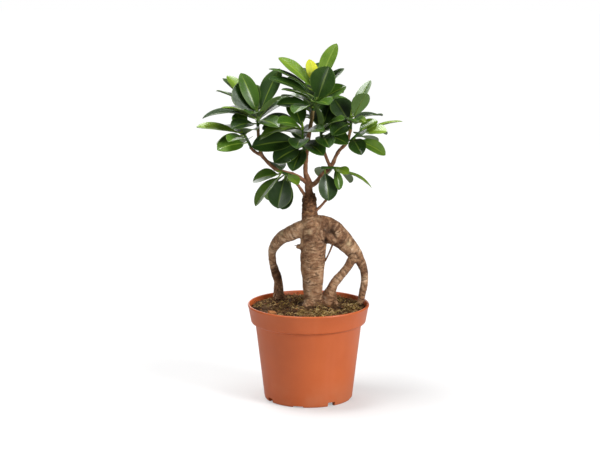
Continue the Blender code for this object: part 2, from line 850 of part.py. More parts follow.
def turned_reach(reach, swing, lift):
    ahead = Vector(reach)
    side = ahead.cross(Vector((0, 0, 1))).normalized()
    turn = Matrix.Rotation(math.radians(swing), 3, "Z") @ Matrix.Rotation(math.radians(lift), 3, side)
    return turn @ ahead


def place_leaf(name, root, outwards, leaf, obstacles, siblings):
    """A leaf in the first turn that clears what is already there, as (mesh, tree of its blade).

    The petiole starts at a root point, moved outwards across the shoot by a distance.
    Siblings are blades of the same spray, which this one keeps clear of past its base.
    """
    axis, distance = outwards
    share, x, y, z, width, curl, roll = leaf
    for swing, lift, twist, growth in turns():
        grown = LEAF_SCALE * growth
        aimed = turned_reach(Vector((x, y, z)) * grown, swing, lift)
        across = (aimed - axis * aimed.dot(axis)).normalized() * distance
        pose = (root + across, aimed - across, width * grown, curl, roll + twist)
        whole = leaf_mesh("test", *pose, extra=GAP)
        blade = leaf_mesh("test", *pose, extra=GAP, first=BLADE_START)
        whole_tree, blade_tree = tree_of(whole), tree_of(blade)
        bpy.data.meshes.remove(whole)
        bpy.data.meshes.remove(blade)
        if any(whole_tree.overlap(other) for other in obstacles):
            continue
        if any(blade_tree.overlap(other) for other in siblings):
            continue
        return leaf_mesh(name, *pose), blade_tree
    raise RuntimeError(f"{name} has no clear place")


def world_mm(point):
    return tree_point(*point) / MM


def make_sprays(look, obstacles):
    """The single leaves around their bare shoots first, then each shoot with its own leaves."""
    shoots = {}
    for spray, spec in SPRAYS.items():
        first, *rest = spec["shoot"]
        route = [(*first, SHOOT_RADIUS), *((*point, SHOOT_RADIUS - SHOOT_TAPER) for point in rest)]
        shoots[spray] = tube_mesh(spray, route, STEM_GIRTH, 1, 3)
    bare = {spray: tree_of(mesh) for spray, mesh in shoots.items()}
    beside = SHOOT_RADIUS * STEM_GIRTH + LEAF_THICKNESS + 2.0 * GAP
    for spray, spec in SPRAYS.items():
        for number, leaf in enumerate(spec["leaves"][: spec["single"]]):
            root, axis = spray_point(spec["shoot"], leaf[0])
            name = f"{spray}_leaf_{number + 1}"
            around = [*obstacles, *bare.values()]
            mesh, blade = place_leaf(name, world_mm(root), (axis, beside), leaf, around, [])
            add_object(name, mesh, look)
            obstacles.append(tree_of(mesh))
    for spray, spec in SPRAYS.items():
        others = [tree for other, tree in bare.items() if other != spray]
        meshes = [shoots[spray]]
        siblings = []
        for number, leaf in enumerate(spec["leaves"][spec["single"] :]):
            root, axis = spray_point(spec["shoot"], leaf[0])
            name = f"{spray}_grown_{number + 1}"
            around = [*obstacles, *others]
            mesh, blade = place_leaf(name, world_mm(root), (axis, 0.0), leaf, around, siblings)
            meshes.append(mesh)
            siblings.append(blade)
        obstacles += [tree_of(mesh) for mesh in meshes[1:]]
        united(f"{spray}_shoot", meshes, look)


clear_scene()
parts = new_collection(COLLECTION)
helpers = new_collection("cutters", hidden=True)

plastic = material("terracotta_plastic", (0.52, 0.13, 0.045), 0.42)
earth = material("peat_soil", (0.045, 0.028, 0.018), 0.95)
moss = material("moss", (0.14, 0.12, 0.02), 0.95)
chip_bark = material("chip_bark", (0.36, 0.12, 0.04), 0.85)
root_bark = material("root_bark", (0.23, 0.17, 0.12), 0.8)
scion_bark = material("scion_bark", (0.2, 0.13, 0.08), 0.75)
leaf_green = material("leaf_green", (0.03, 0.075, 0.02), 0.32, 0.3)

make_pot(plastic)
rootstock = make_rootstock(root_bark)
soil = make_soil(earth)
boolean(soil, swollen_copy("root_pockets", rootstock, SOIL_GAP), "DIFFERENCE")
obstacles = [tree_of(evaluated_mesh(rootstock))]
for name, place, size, seed in MOSS:
    lump(name, moss, place, size, seed)
for name, place, turn in CHIPS:
    chip(name, chip_bark, place, (CHIP_LENGTH, 0.6 * CHIP_LENGTH, 0.25 * CHIP_LENGTH), turn)
bark = swollen_copy("scion_pockets", rootstock, GAP)
for name, routes in SCIONS.items():
    obstacles.append(tree_of(evaluated_mesh(make_scion(name, routes, bark, scion_bark))))
make_sprays(leaf_green, obstacles)
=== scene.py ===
# A potted ginseng ficus: the looks of each piece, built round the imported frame.
import itertools
import math
import random

import bmesh
import bpy
from mathutils import Matrix, Vector, noise
from mathutils.bvhtree import BVHTree
from mathutils.kdtree import KDTree


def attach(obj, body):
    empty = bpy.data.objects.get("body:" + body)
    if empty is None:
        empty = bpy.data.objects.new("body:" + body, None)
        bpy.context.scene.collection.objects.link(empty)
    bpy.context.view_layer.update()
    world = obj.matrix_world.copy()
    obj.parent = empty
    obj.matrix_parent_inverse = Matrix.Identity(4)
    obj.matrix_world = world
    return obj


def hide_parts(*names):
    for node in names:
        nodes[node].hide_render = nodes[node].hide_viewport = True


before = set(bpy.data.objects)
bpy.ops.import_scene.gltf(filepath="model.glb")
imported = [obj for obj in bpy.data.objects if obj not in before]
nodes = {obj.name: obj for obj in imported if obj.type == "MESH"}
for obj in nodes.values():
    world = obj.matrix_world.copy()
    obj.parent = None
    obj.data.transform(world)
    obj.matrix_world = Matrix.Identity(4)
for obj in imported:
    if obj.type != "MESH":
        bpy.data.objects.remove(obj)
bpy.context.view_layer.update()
mm = 0.001
fullTurn = 2 * math.pi
random.seed(7)
print("frame loaded,", len(nodes), "nodes")

# shader maths


class Value:
    # an output socket that plain maths can be written with
    def __init__(self, recipe, socket):
        self.recipe, self.socket = recipe, socket

    def maths(self, operation, *terms):
        return self.recipe.add("ShaderNodeMath", {"operation": operation}, dict(enumerate(terms)))

    def __add__(self, other):
        return self.maths("ADD", self, other)

    def __radd__(self, other):
        return self.maths("ADD", other, self)

    def __sub__(self, other):
        return self.maths("SUBTRACT", self, other)

    def __rsub__(self, other):
        return self.maths("SUBTRACT", other, self)

    def __mul__(self, other):
        return self.maths("MULTIPLY", self, other)

    def __rmul__(self, other):
        return self.maths("MULTIPLY", other, self)

    def __pow__(self, other):
        return self.maths("POWER", self, other)

    def __abs__(self):
        return self.maths("ABSOLUTE", self)

    def sine(self):
        return self.maths("SINE", self)


class Recipe:
    # a material, or the world, and the nodes added to it
    def __init__(self, owner, levels, shader="Principled BSDF"):
        self.owner = owner
        owner.use_nodes = True
        self.tree = owner.node_tree
        self.shader = self.tree.nodes[shader]
        for socket, level in levels.items():
            self.shader.inputs[socket].default_value = level

    def add(self, kind, settings=None, sockets=None, out=0):
        node = self.tree.nodes.new(kind)
        for key, value in (settings or {}).items():
            setattr(node, key, value)
        for key, value in (sockets or {}).items():
            if isinstance(value, Value):
                self.tree.links.new(value.socket, node.inputs[key])
            else:
                node.inputs[key].default_value = value
        return Value(self, node.outputs[out])

    def feed(self, socket, value):
        self.tree.links.new(value.socket, self.shader.inputs[socket])

    def place(self):
        return self.add("ShaderNodeTexCoord", out="Object")

    def stretched(self, vector, scale):
        return self.add("ShaderNodeMapping", None, {"Vector": vector, "Scale": scale})

    def joined(self, x, y, z):
        return self.add("ShaderNodeCombineXYZ", None, {0: x, 1: y, 2: z})

    def parts(self, vector):
        node = self.add("ShaderNodeSeparateXYZ", None, {0: vector}).socket.node
        return [Value(self, socket) for socket in node.outputs]

    def attribute(self, name):
        return self.add("ShaderNodeAttribute", {"attribute_name": name}, out="Fac")

    def cloud(self, vector, scale, detail=3.0, roughness=0.55):
        sockets = {"Vector": vector, "Scale": scale, "Detail": detail, "Roughness": roughness}
        return self.add("ShaderNodeTexNoise", None, sockets)

    def cells(self, vector, scale):
        return self.add("ShaderNodeTexVoronoi", None, {"Vector": vector, "Scale": scale})

    def between(self, value, low, high, start=0.0, end=1.0):
        sockets = {"Value": value, "From Min": low, "From Max": high, "To Min": start, "To Max": end}
        return self.add("ShaderNodeMapRange", {"clamp": True}, sockets)

    def ramp(self, value, stops):
        made = self.add("ShaderNodeValToRGB", None, {"Fac": value})
        elements = made.socket.node.color_ramp.elements
        while len(elements) < len(stops):
            elements.new(0.5)
        for element, (place, colour) in zip(elements, stops):
            element.position = place
            element.color = (*colour, 1.0)
        return made

    def mix(self, factor, *sides):
        first, second = (side if isinstance(side, Value) else (*side, 1.0) for side in sides)
        return self.add("ShaderNodeMix", {"data_type": "RGBA"}, {0: factor, 6: first, 7: second}, out=2)

    def finished(self, colour, roughness, height, strength, distance):
        sockets = {"Height": height, "Strength": strength, "Distance": distance}
        self.feed("Base Color", colour)
        self.feed("Roughness", roughness)
        self.feed("Normal", self.add("ShaderNodeBump", None, sockets))
        return self.owner


def newMaterial(name, **levels):
    # the keywords are the shader's own levels, with "_" for a space
    named = {key.replace("_", " "): level for key, level in levels.items()}
    return Recipe(bpy.data.materials.new(name), named)


# mesh helpers that the pieces share


def meshOf(shape, name):
    # the bmesh as a mesh; the bmesh goes
    mesh = bpy.data.meshes.new(name)
    shape.to_mesh(mesh)
    shape.free()
    return mesh


def finishPiece(name, shape, material, slotName, *replaced, smoothAngle=40):
    mesh = meshOf(shape, name)
    mesh.materials.append(material)
    mesh.shade_smooth()
    mesh.set_sharp_from_angle(angle=math.radians(smoothAngle))
    piece = looseObject(name, mesh)
    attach(piece, "root")
    if replaced:
        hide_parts(*replaced)


def appliedMesh(obj):
    # the mesh with its modifiers applied; the object goes
    graph = bpy.context.evaluated_depsgraph_get()
    mesh = bpy.data.meshes.new_from_object(obj.evaluated_get(graph), depsgraph=graph)
    bpy.data.objects.remove(obj)
    return mesh


def looseObject(name, mesh):
    obj = bpy.data.objects.new(name, mesh)
    bpy.context.scene.collection.objects.link(obj)
    return obj


def fused(name, tubes, voxel, rounds):
    # the tubes melted into one skin and smoothed
    joined = bmesh.new()
    for tube in tubes:
        joined.from_mesh(tube)
    obj = looseObject(name, meshOf(joined, name))
    melt = obj.modifiers.new("melt", "REMESH")
    melt.mode, melt.voxel_size = "VOXEL", voxel * mm
    soften = obj.modifiers.new("soften", "SMOOTH")
    soften.factor, soften.iterations = 0.5, rounds
    return appliedMesh(obj)


def spun(shape, profile, steps, closed=False):
    # turns a profile of (radius, height) round the upright axis
    points = [shape.verts.new((radius * mm, 0.0, height * mm)) for radius, height in profile]
    edges = [shape.edges.new(pair) for pair in zip(points, points[1:])]
    if closed:
        edges.append(shape.edges.new((points[-1], points[0])))
    bmesh.ops.spin(
        shape, geom=[*points, *edges], cent=(0, 0, 0), axis=(0, 0, 1), angle=fullTurn,
        steps=steps, use_merge=True, use_duplicate=False,
    )
    bmesh.ops.remove_doubles(shape, verts=shape.verts, dist=2e-6)
    if closed:
        bmesh.ops.dissolve_degenerate(shape, edges=shape.edges, dist=1e-6)
    bmesh.ops.recalc_face_normals(shape, faces=shape.faces)


def clamped(value):
    return min(max(value, 0.0), 1.0)


def falloff(spot, centre, reach):
    return math.exp(-(((spot - centre).length / reach) ** 2))


def polar(radius, angle):
    return radius * math.cos(angle), radius * math.sin(angle)


def smoothRoute(points, perSpan):
    # the same points with a smooth curve through them
    ends = [points[0], *points, points[-1]]
    route = []
    for before, start, end, after in zip(ends, ends[1:], ends[2:], ends[3:]):
        for step in range(perSpan):
            t = step / perSpan
            point = []
            for a, b, c, d in zip(before, start, end, after):
                square = 2 * a - 5 * b + 4 * c - d
                cube = 3 * b - a - 3 * c + d
                point.append(0.5 * (2 * b + (c - a) * t + square * t**2 + cube * t**3))
            route.append(point)
    route.append(list(points[-1]))
    return route


treeLevel = 87.0  # millimetres up from the floor to where the tree's own heights start


def treePoint(x, y, z):
    return Vector((x, y, z + treeLevel)) * mm


def tubeMesh(name, route, sides):
    # a closed tube through points of (x, y, z, radius)
    curve = bpy.data.curves.new(name, "CURVE")
    curve.dimensions = "3D"
    curve.bevel_depth = 1.0
    curve.bevel_resolution = sides
    curve.use_fill_caps = True
    spline = curve.splines.new("POLY")
    spline.points.add(len(route) - 1)
    for point, (x, y, z, radius) in zip(spline.points, route):
        point.co = (*treePoint(x, y, z), 1.0)
        point.radius = radius * mm
    shape = newShape(mesh=appliedMesh(looseObject(name, curve)))
    bmesh.ops.remove_doubles(shape, verts=shape.verts, dist=1e-6)
    bmesh.ops.recalc_face_normals(shape, faces=shape.faces)
    return meshOf(shape, name)


def sweep(shape, points, radii, sides):
    # circles along a route, bridged into a closed tube; returns the new vertices
    before = None
    made = []
    last = len(points) - 1
    for index, (point, radius) in enumerate(zip(points, radii)):
        ahead = points[min(index + 1, last)] - points[max(index - 1, 0)]
        turn = Matrix.Translation(point) @ ahead.to_track_quat("Z", "Y").to_matrix().to_4x4()
        ring = bmesh.ops.create_circle(
            shape, segments=sides, radius=radius * mm, cap_ends=index in (0, last), matrix=turn
        )["verts"]
        edges = {edge for vertex in ring for edge in vertex.link_edges}
        if before:
            bmesh.ops.bridge_loops(shape, edges=[*before, *edges])
        before = edges
        made += ring
    return made


def ball(shape, centre, size, seed, level, rough):
    # an uneven lump
    made = bmesh.ops.create_icosphere(shape, subdivisions=level, radius=1.0)["verts"]
    turn = Matrix.Rotation(seed * 1.7, 3, "Z") @ Matrix.Rotation(seed * 0.9, 3, "X")
    spread = Matrix.Diagonal(size) @ turn
    for vertex in made:
        bump = 1.0 + rough * noise.noise(vertex.co * 1.9 + Vector((seed, 0, seed)))
        vertex.co = (Vector(centre) + spread @ vertex.co * bump) * mm
    return made


def newShape(*layers, mesh=None):
    # an empty bmesh, or one of a mesh, with its value layers ready
    shape = bmesh.new()
    if mesh:
        shape.from_mesh(mesh)
    for name in layers:
        shape.verts.layers.float.new(name)
    return shape


def setLayer(shape, name, vertices, value):
    # the value is one number, or a list with one for each vertex
    layer = shape.verts.layers.float[name]
    values = value if isinstance(value, list) else [value] * len(vertices)
    for vertex, single in zip(vertices, values):
        vertex[layer] = single


# the camera, the lights and the floor

studio = {
    "cameraPlace": (-0.0085, -1.770, 0.505),
    "cameraTarget": (-0.0085, 0.0, 0.177),
    "lightTarget": (0.0, 0.0, 0.18),
    "lens": 108.0,
    "skyGlow": 0.12,
    "floorFade": (0.3, 0.72),
    "floorLift": 0.35,
    # place, size and power
    "lights": {
        "key": ((1.3, -1.0, 0.85), 0.7, 30.0),
        "fill": ((-1.2, -1.3, 0.7), 1.0, 9.0),
        "top": ((-0.3, 0.0, 1.7), 0.6, 25.0),
        "back": ((-0.6, 1.7, 0.8), 1.3, 16.0),
    },
}


def lookingAt(name, data, place, target):
    # a camera or a light, placed and turned to its target
    obj = looseObject(name, data)
    obj.location = place
    obj.rotation_euler = (Vector(target) - obj.location).to_track_quat("-Z", "Y").to_euler()
    return obj


def makeStudio(choice):
    scene = bpy.context.scene
    scene.view_settings.view_transform = "Standard"
    lens = bpy.data.cameras.new("camera")
    lens.lens, lens.sensor_width, lens.clip_end = choice["lens"], 36.0, 50.0
    scene.camera = lookingAt("camera", lens, choice["cameraPlace"], choice["cameraTarget"])
    for name, (place, size, power) in choice["lights"].items():
        lamp = bpy.data.lights.new(name, "AREA")
        lamp.size, lamp.energy = size, power
        lookingAt(name, lamp, place, choice["lightTarget"])
    scene.world = bpy.data.worlds.new("world")
    sky = Recipe(scene.world, {"Color": (1.0, 1.0, 1.0, 1.0)}, "Background")
    seen = sky.add("ShaderNodeLightPath", out="Is Camera Ray")
    sky.feed("Strength", sky.between(seen, 0.0, 1.0, choice["skyGlow"], 1.0))
    shape = bmesh.new()
    bmesh.ops.create_grid(shape, x_segments=2, y_segments=2, size=6.0)
    floor = looseObject("floor", meshOf(shape, "floor"))
    # the floor bounces a soft light near the pot and is plain white further out
    white = newMaterial("floor_white", Roughness=0.9, Emission_Strength=1.0)
    x, y = white.parts(white.place())[:2]
    far = white.between((x * x + y * y) ** 0.5, *choice["floorFade"])
    seen = white.add("ShaderNodeLightPath", out="Is Camera Ray")
    near = choice["floorLift"]
    glow = (far * (1.0 - near) + near) * seen
    white.feed("Emission Color", white.mix(glow, (0.0, 0.0, 0.0), (1.0, 1.0, 1.0)))
    white.feed("Base Color", white.mix(far, (0.5, 0.5, 0.5), (0.02, 0.02, 0.02)))
    floor.data.materials.append(white.owner)


makeStudio(studio)
print("studio ready")

# the pot

potSizes = {
    "height": 97.0, "rimRadius": 61.0, "rimTaper": 3.0, "rimBand": 19.0, "step": 4.6, "footRadius": 44.6,
    "wall": 1.3, "floorLift": 5.6, "footWidth": 2.6, "padRadius": 11.0, "drainRadius": 3.4,
    "drainCircle": 27.0, "drains": 6, "notches": 4, "notchTurn": 31.0, "notch": (8.0, 4.4),
    "dip": (11.0, 1.5), "steps": 120,
}


def plasticMaterial():
    recipe = newMaterial("terracotta_plastic", Specular_IOR_Level=0.45)
    place = recipe.place()
    cloud = recipe.cloud(place, 18.0, 4.0)
    streak = recipe.cloud(recipe.stretched(place, (60.0, 60.0, 4.0)), 1.0, 2.0)
    fine = recipe.cloud(place, 900.0, 2.0)
    height = recipe.parts(place)[2]
    dust = recipe.between(height, 0.0, 0.03, 1.0, 0.0) * recipe.between(cloud, 0.45, 0.7)
    base = recipe.ramp(cloud, [(0.3, (0.50, 0.098, 0.020)), (0.7, (0.58, 0.125, 0.028))])
    base = recipe.mix(recipe.between(streak, 0.5, 0.75, 0.0, 0.25), base, (0.60, 0.145, 0.05))
    base = recipe.mix(dust * 0.35, base, (0.42, 0.24, 0.15))
    gloss = recipe.between(cloud + fine * 0.3, 0.4, 0.9, 0.36, 0.5)
    height = fine * 0.3 + streak * 0.7 + recipe.cloud(place, 120.0) * 0.6
    return recipe.finished(base, gloss, height, 0.12, 0.0006)


def potProfile(size):
    height, wall, lift = size["height"], size["wall"], size["floorLift"]
    band = height - size["rimBand"]
    bandRadius = size["rimRadius"] - size["rimTaper"]
    body = bandRadius - size["step"]
    top, foot, pad = size["rimRadius"], size["footRadius"], size["padRadius"]
    footWidth = size["footWidth"]
    outer = [
        (top - 0.9, height), (top - 0.35, height - 0.12), (top + 0.02, height - 0.5),
        (top + 0.2, height - 1.2), (top + 0.1, height - 1.9), (top - 0.4, height - 2.6),
        (bandRadius, band + 2.6), (bandRadius - 0.2, band + 1.5), (bandRadius - 0.8, band + 0.6),
        (bandRadius - 2.0, band), (body + 1.0, band - 0.6), (body + 0.3, band - 1.0), (body, band - 1.8),
        (foot, 2.4), (foot - 0.2, 1.3), (foot - 0.8, 0.4), (foot - 1.8, 0.0), (foot - 1.8 - footWidth, 0.0),
        (foot - 3.0 - footWidth, lift), (pad + lift, lift), (pad, 0.0), (0.0, 0.0),
    ]
    inner = [
        (0.0, wall), (pad - 0.5, wall), (pad + lift - 0.5, lift + wall), (foot - 3.0 - wall, lift + wall),
        (foot + 0.3 - wall, lift + 3.0), (body - wall, band - 1.8), (bandRadius - 2.0 - wall, band + wall),
        (bandRadius - wall, band + 3.4), (top - 0.9 - wall, height - 1.8), (top - 0.5 - wall, height - 0.7),
        (top - 0.2 - wall, height - 0.15),
    ]
    return outer + inner


def makePot(size, material):
    shape = bmesh.new()
    spun(shape, potProfile(size), size["steps"], closed=True)
    pot = looseObject("pot_turned", meshOf(shape, "pot_turned"))
    cutter = bmesh.new()
    radius = size["drainRadius"] * mm
    for index in range(size["drains"]):
        turn = Matrix.Rotation(fullTurn * index / size["drains"], 4, "Z")
        hole = turn @ Matrix.Translation((size["drainCircle"] * mm, 0, size["floorLift"] * mm))
        bmesh.ops.create_cone(
            cutter, cap_ends=True, segments=28, radius1=radius, radius2=radius, depth=0.01, matrix=hole
        )
    start = math.radians(size["notchTurn"] - 90.0)
    for index in range(2 * size["notches"]):
        turn = Matrix.Rotation(start + math.pi * index / size["notches"], 4, "Z")
        width, height = size["dip"] if index % 2 else size["notch"]
        spread = Matrix.Diagonal((4 * size["footWidth"] * mm, width * mm, 2 * height * mm, 1))
        notch = turn @ Matrix.Translation(((size["footRadius"] - size["footWidth"]) * mm, 0, 0)) @ spread
        box = bmesh.ops.create_cube(cutter, size=1.0, matrix=notch)["verts"]
        edges = {edge for vertex in box for edge in vertex.link_edges}
        level = [edge for edge in edges if abs(edge.verts[0].co.z - edge.verts[1].co.z) < 1e-6]
        bmesh.ops.bevel(
            cutter, geom=level, offset=0.6 * mm, segments=3, profile=0.5, affect="EDGES", material=-1
        )
    cuts = looseObject("pot_cuts", meshOf(cutter, "pot_cuts"))
    cut = pot.modifiers.new("cuts", "BOOLEAN")
    cut.operation, cut.object, cut.solver = "DIFFERENCE", cuts, "EXACT"
    shape = newShape(mesh=appliedMesh(pot))
    bpy.data.objects.remove(cuts)
    finishPiece("pot_shell", shape, material, "terracotta_plastic", "pot", smoothAngle=32)


makePot(potSizes, plasticMaterial())
print("pot ready")

# the soil, moss and chips

soilSizes = {
    "drop": 4.5, "mound": 3.0, "moundRadius": 59.0, "edge": 57.6, "rings": 44, "steps": 160,
    "waves": ((1.5, 0.09), (1.3, 0.28), (0.6, 0.8)), "grainTones": (0.0, 0.1, 0.3, 0.6, 1.1),
    "wall": [(55.6, 80.9), (52.0, 75.4), (43.1, 9.0), (40.6, 7.4), (16.0, 7.4), (10.4, 1.75), (0.0, 1.75)],
    "grains": 1300, "grainReach": 56.0, "fibres": 1000, "fibreReach": 55.0, "lastFibre": 56.5,
    "mossLumps": 14, "mossLumpReach": 52.0, "mossReach": 54.5,
    "chip": (-36, -33), "chipTurn": (20, 12, 35), "chipSize": (9.0, 5.4, 2.2), "chipLift": 1.9,
    "flakes": 26, "flakeReach": (18, 52),
}
# each clump of moss: its node, place, spread and height, fibres and seed
mossClumps = {
    "moss_tuft_front": ("moss_front", (8, -38), (20, 10, 4.5), 210, 3),
    "moss_tuft_right": ("moss_right", (42, -17), (8, 12, 6.5), 105, 9),
}
soilLevel = potSizes["height"] - soilSizes["drop"]


def soilHeight(x, y):
    reach = min(math.hypot(x, y) / soilSizes["moundRadius"], 1.0)
    return soilLevel + soilSizes["mound"] * (0.5 + 0.5 * math.cos(math.pi * reach))


def lump(shape, x, y, lift, size, *look):
    return ball(shape, (x, y, soilHeight(x, y) + lift), size, *look)


def earthMaterial():
    recipe = newMaterial("peat_soil", Specular_IOR_Level=0.25)
    place = recipe.place()
    big = recipe.cloud(place, 90.0, 6.0, 0.65)
    small = recipe.cloud(place, 700.0, 4.0, 0.7)
    grain = recipe.cells(place, 520.0)
    base = recipe.ramp(
        recipe.between(big * 0.6 + small * 0.4 + recipe.attribute("tone") * 0.35 - 0.1, 0.3, 0.85),
        [
            (0.0, (0.026, 0.011, 0.005)), (0.4, (0.095, 0.045, 0.018)), (0.7, (0.21, 0.115, 0.042)),
            (1.0, (0.46, 0.29, 0.12)),
        ],
    )
    rough = recipe.between(small, 0.3, 0.7, 0.8, 1.0)
    return recipe.finished(base, rough, small * 0.6 + grain * 0.5, 0.9, 0.0012)


def mossMaterial():
    recipe = newMaterial("moss", Specular_IOR_Level=0.3)
    place = recipe.place()
    patch = recipe.cloud(place, 120.0, 4.0)
    fine = recipe.cloud(place, 1500.0, 3.0)
    base = recipe.ramp(
        recipe.between(recipe.attribute("tone") * 0.75 + patch * 0.4, 0.1, 1.05),
        [
            (0.0, (0.04, 0.018, 0.008)), (0.3, (0.15, 0.070, 0.024)), (0.5, (0.22, 0.15, 0.03)),
            (0.72, (0.44, 0.28, 0.10)), (1.0, (0.68, 0.50, 0.24)),
        ],
    )
    return recipe.finished(base, recipe.between(fine, 0.3, 0.7, 0.75, 0.95), fine, 0.5, 0.0005)


def chipMaterial():
    recipe = newMaterial("chip_bark", Specular_IOR_Level=0.3)
    grain = recipe.cloud(recipe.stretched(recipe.place(), (120.0, 500.0, 500.0)), 1.0, 5.0, 0.6)
    stops = [(0.3, (0.16, 0.055, 0.018)), (0.55, (0.42, 0.16, 0.05)), (0.8, (0.62, 0.34, 0.14))]
    rough = recipe.between(grain, 0.3, 0.7, 0.7, 0.95)
    return recipe.finished(recipe.ramp(grain, stops), rough, grain, 0.7, 0.0008)


def fibre(shape, x, y, reach, radius, tone):
    # one curled moss fibre that rises from the soil and lies over
    heading = random.uniform(0, fullTurn)
    rise = random.uniform(0.25, 0.75) * reach
    points, radii = [], []
    for step in range(5):
        t = step / 4
        heading += random.uniform(-0.5, 0.5)
        px = x + math.cos(heading) * reach * t
        py = y + math.sin(heading) * reach * t
        away, limit = math.hypot(px, py), soilSizes["lastFibre"]
        if away > limit:
            px, py = px * limit / away, py * limit / away
        pz = soilHeight(px, py) + 0.2 + rise * math.sin(math.pi * min(0.15 + 0.75 * t, 1.0))
        points.append(Vector((px, py, pz)) * mm)
        radii.append(radius * (1.0 - 0.6 * t))
    setLayer(shape, "tone", sweep(shape, points, radii, 3), tone)


def makeSoil(size, material, moss):
    shape = newShape("tone")
    radii = [size["edge"] * ring / size["rings"] for ring in range(size["rings"] + 1)]
    spun(shape, [(radius, soilHeight(radius, 0)) for radius in radii] + size["wall"], size["steps"])
    tones = []
    for vertex in shape.verts:
        if vertex.co.z > 90 * mm and vertex.co.xy.length < (size["edge"] - 0.3) * mm:
            spot = vertex.co / mm
            rise = sum(height * noise.noise(spot * scale) for height, scale in size["waves"])
            vertex.co.z += rise * mm
        tones.append(0.35 + 0.5 * noise.noise(vertex.co / mm * 0.2))
    setLayer(shape, "tone", shape.verts, tones)
    for index in range(size["grains"]):
        x, y = polar(size["grainReach"] * math.sqrt(random.random()), random.uniform(0, fullTurn))
        grow = random.uniform(0.45, 1.5) * random.uniform(0.6, 1.1)
        made = lump(shape, x, y, 0.3 * grow, (grow, grow * 0.8, grow * 0.6), index * 0.37, 1, 0.45)
        setLayer(shape, "tone", made, random.choice(size["grainTones"]) * random.random())
    finishPiece("soil_bed", shape, material, "peat_soil", "soil", smoothAngle=60)
    shape = newShape("tone")
    for _ in range(size["fibres"]):
        x, y = polar(size["fibreReach"] * math.sqrt(random.uniform(0.04, 1.0)), random.uniform(0, fullTurn))
        if noise.noise(Vector((x, y, 3.0)) * 0.055) < -0.25:
            continue
        fibre(shape, x, y, random.uniform(2.0, 6.5), random.uniform(0.2, 0.42), random.random() ** 2)
    finishPiece("soil_fibres", shape, moss, "moss")


def makeMoss(name, node, place, spread, count, seed, material):
    shape = newShape("tone")
    for index in range(soilSizes["mossLumps"]):
        x = place[0] + random.uniform(-0.7, 0.7) * spread[0]
        y = place[1] + random.uniform(-0.7, 0.7) * spread[1]
        if math.hypot(x, y) > soilSizes["mossLumpReach"]:
            continue
        size = random.uniform(0.16, 0.3) * min(spread[0], spread[1] * 1.6)
        made = lump(shape, x, y, 0.25 * size, (size, size, 0.6 * size), seed + index, 2, 0.6)
        setLayer(shape, "tone", made, [0.15 + 0.3 * random.random() for vertex in made])
    for _ in range(count):
        angle, share = random.uniform(0, fullTurn), math.sqrt(random.random())
        x = place[0] + share * spread[0] * math.cos(angle)
        y = place[1] + share * spread[1] * math.sin(angle)
        if math.hypot(x, y) > soilSizes["mossReach"]:
            continue
        before = len(shape.verts)
        fibre(shape, x, y, random.uniform(2.5, 6.0), random.uniform(0.25, 0.45), random.random() * 1.1)
        shape.verts.ensure_lookup_table()
        lift = (1.0 - share) * spread[2] * 0.55 * mm
        bmesh.ops.translate(shape, verts=shape.verts[before:], vec=(0, 0, lift))
    finishPiece(name, shape, material, "moss", node)


def makeChip(size, material):
    shape = bmesh.new()
    bmesh.ops.create_cube(shape, size=1.0)
    bmesh.ops.scale(shape, verts=shape.verts, vec=Vector(size["chipSize"]) * mm)
    bmesh.ops.bevel(
        shape, geom=shape.edges[:], offset=0.5 * mm, segments=2, profile=0.5, affect="EDGES", material=-1
    )
    bmesh.ops.subdivide_edges(shape, edges=shape.edges[:], cuts=2, use_grid_fill=True)
    for vertex in shape.verts:
        vertex.co += vertex.normal * noise.noise(vertex.co / mm * 0.7) * 0.7 * mm
    for angle, axis in zip(size["chipTurn"], "XYZ"):
        turn = Matrix.Rotation(math.radians(angle), 3, axis)
        bmesh.ops.rotate(shape, verts=shape.verts, cent=(0, 0, 0), matrix=turn)
    x, y = size["chip"]
    centre = Vector((x, y, soilHeight(x, y) + size["chipLift"]))
    bmesh.ops.translate(shape, verts=shape.verts, vec=centre * mm)
    for index in range(size["flakes"]):
        angle, radius = random.uniform(0, fullTurn), random.uniform(*size["flakeReach"])
        x, y = polar(radius, angle)
        grow = random.uniform(0.7, 1.9)
        lump(shape, x, y, 0.6, (grow * 1.5, grow * 0.7, grow * 0.35), index * 1.3, 1, 0.5)
    finishPiece("bark_flakes", shape, material, "chip_bark", "bark_chip")


mossLook = mossMaterial()
makeSoil(soilSizes, earthMaterial(), mossLook)
for name, clump in mossClumps.items():
    makeMoss(name, *clump, mossLook)
makeChip(soilSizes, chipMaterial())
print("soil, moss and chips ready")

# the rootstock

trunk = [
    (6, 2, -18, 5.5), (4.5, 1, 8, 8.8), (4.5, 0, 23, 9.6), (4.5, 0, 33, 11.0), (4.2, 0, 45, 11.8),
    (4.5, 0, 58, 12.8), (5, 0, 74, 13.0), (4, 0, 86, 11.6), (2.5, 0, 94, 9.4), (1.4, 0, 101, 8.0),
    (0.9, 0, 114, 7.2), (0.5, 0, 122, 5.8),
]
leftArm = [
    (3, 0, 85, 8.5), (-6, 1, 86, 8.5), (-13, 3, 83, 8.0), (-22, 8, 78, 7.2), (-30, 14, 71, 6.0),
    (-35.5, 20, 62, 4.7), (-37, 24, 53, 4.1), (-36, 28, 43, 3.9), (-33.5, 31, 34, 4.4),
    (-31, 33, 26, 4.4), (-30.5, 34, 17, 5.0), (-30, 35, 6, 6.2), (-27, 31, -14, 4.0),
]
rightArm = [
    (8, 0, 82, 12.0), (17, 0, 84, 12.6), (25, 0, 82, 12.2), (34.5, 2, 74, 9.6), (42.5, 4, 65, 8.0),
    (49.5, 7, 56, 6.0), (55, 10, 45, 4.3), (57, 12, 33, 3.7), (56, 13, 22, 3.5), (53, 14, 9, 3.4),
    (49, 14, -1, 3.2), (43, 12, -15, 2.8),
]
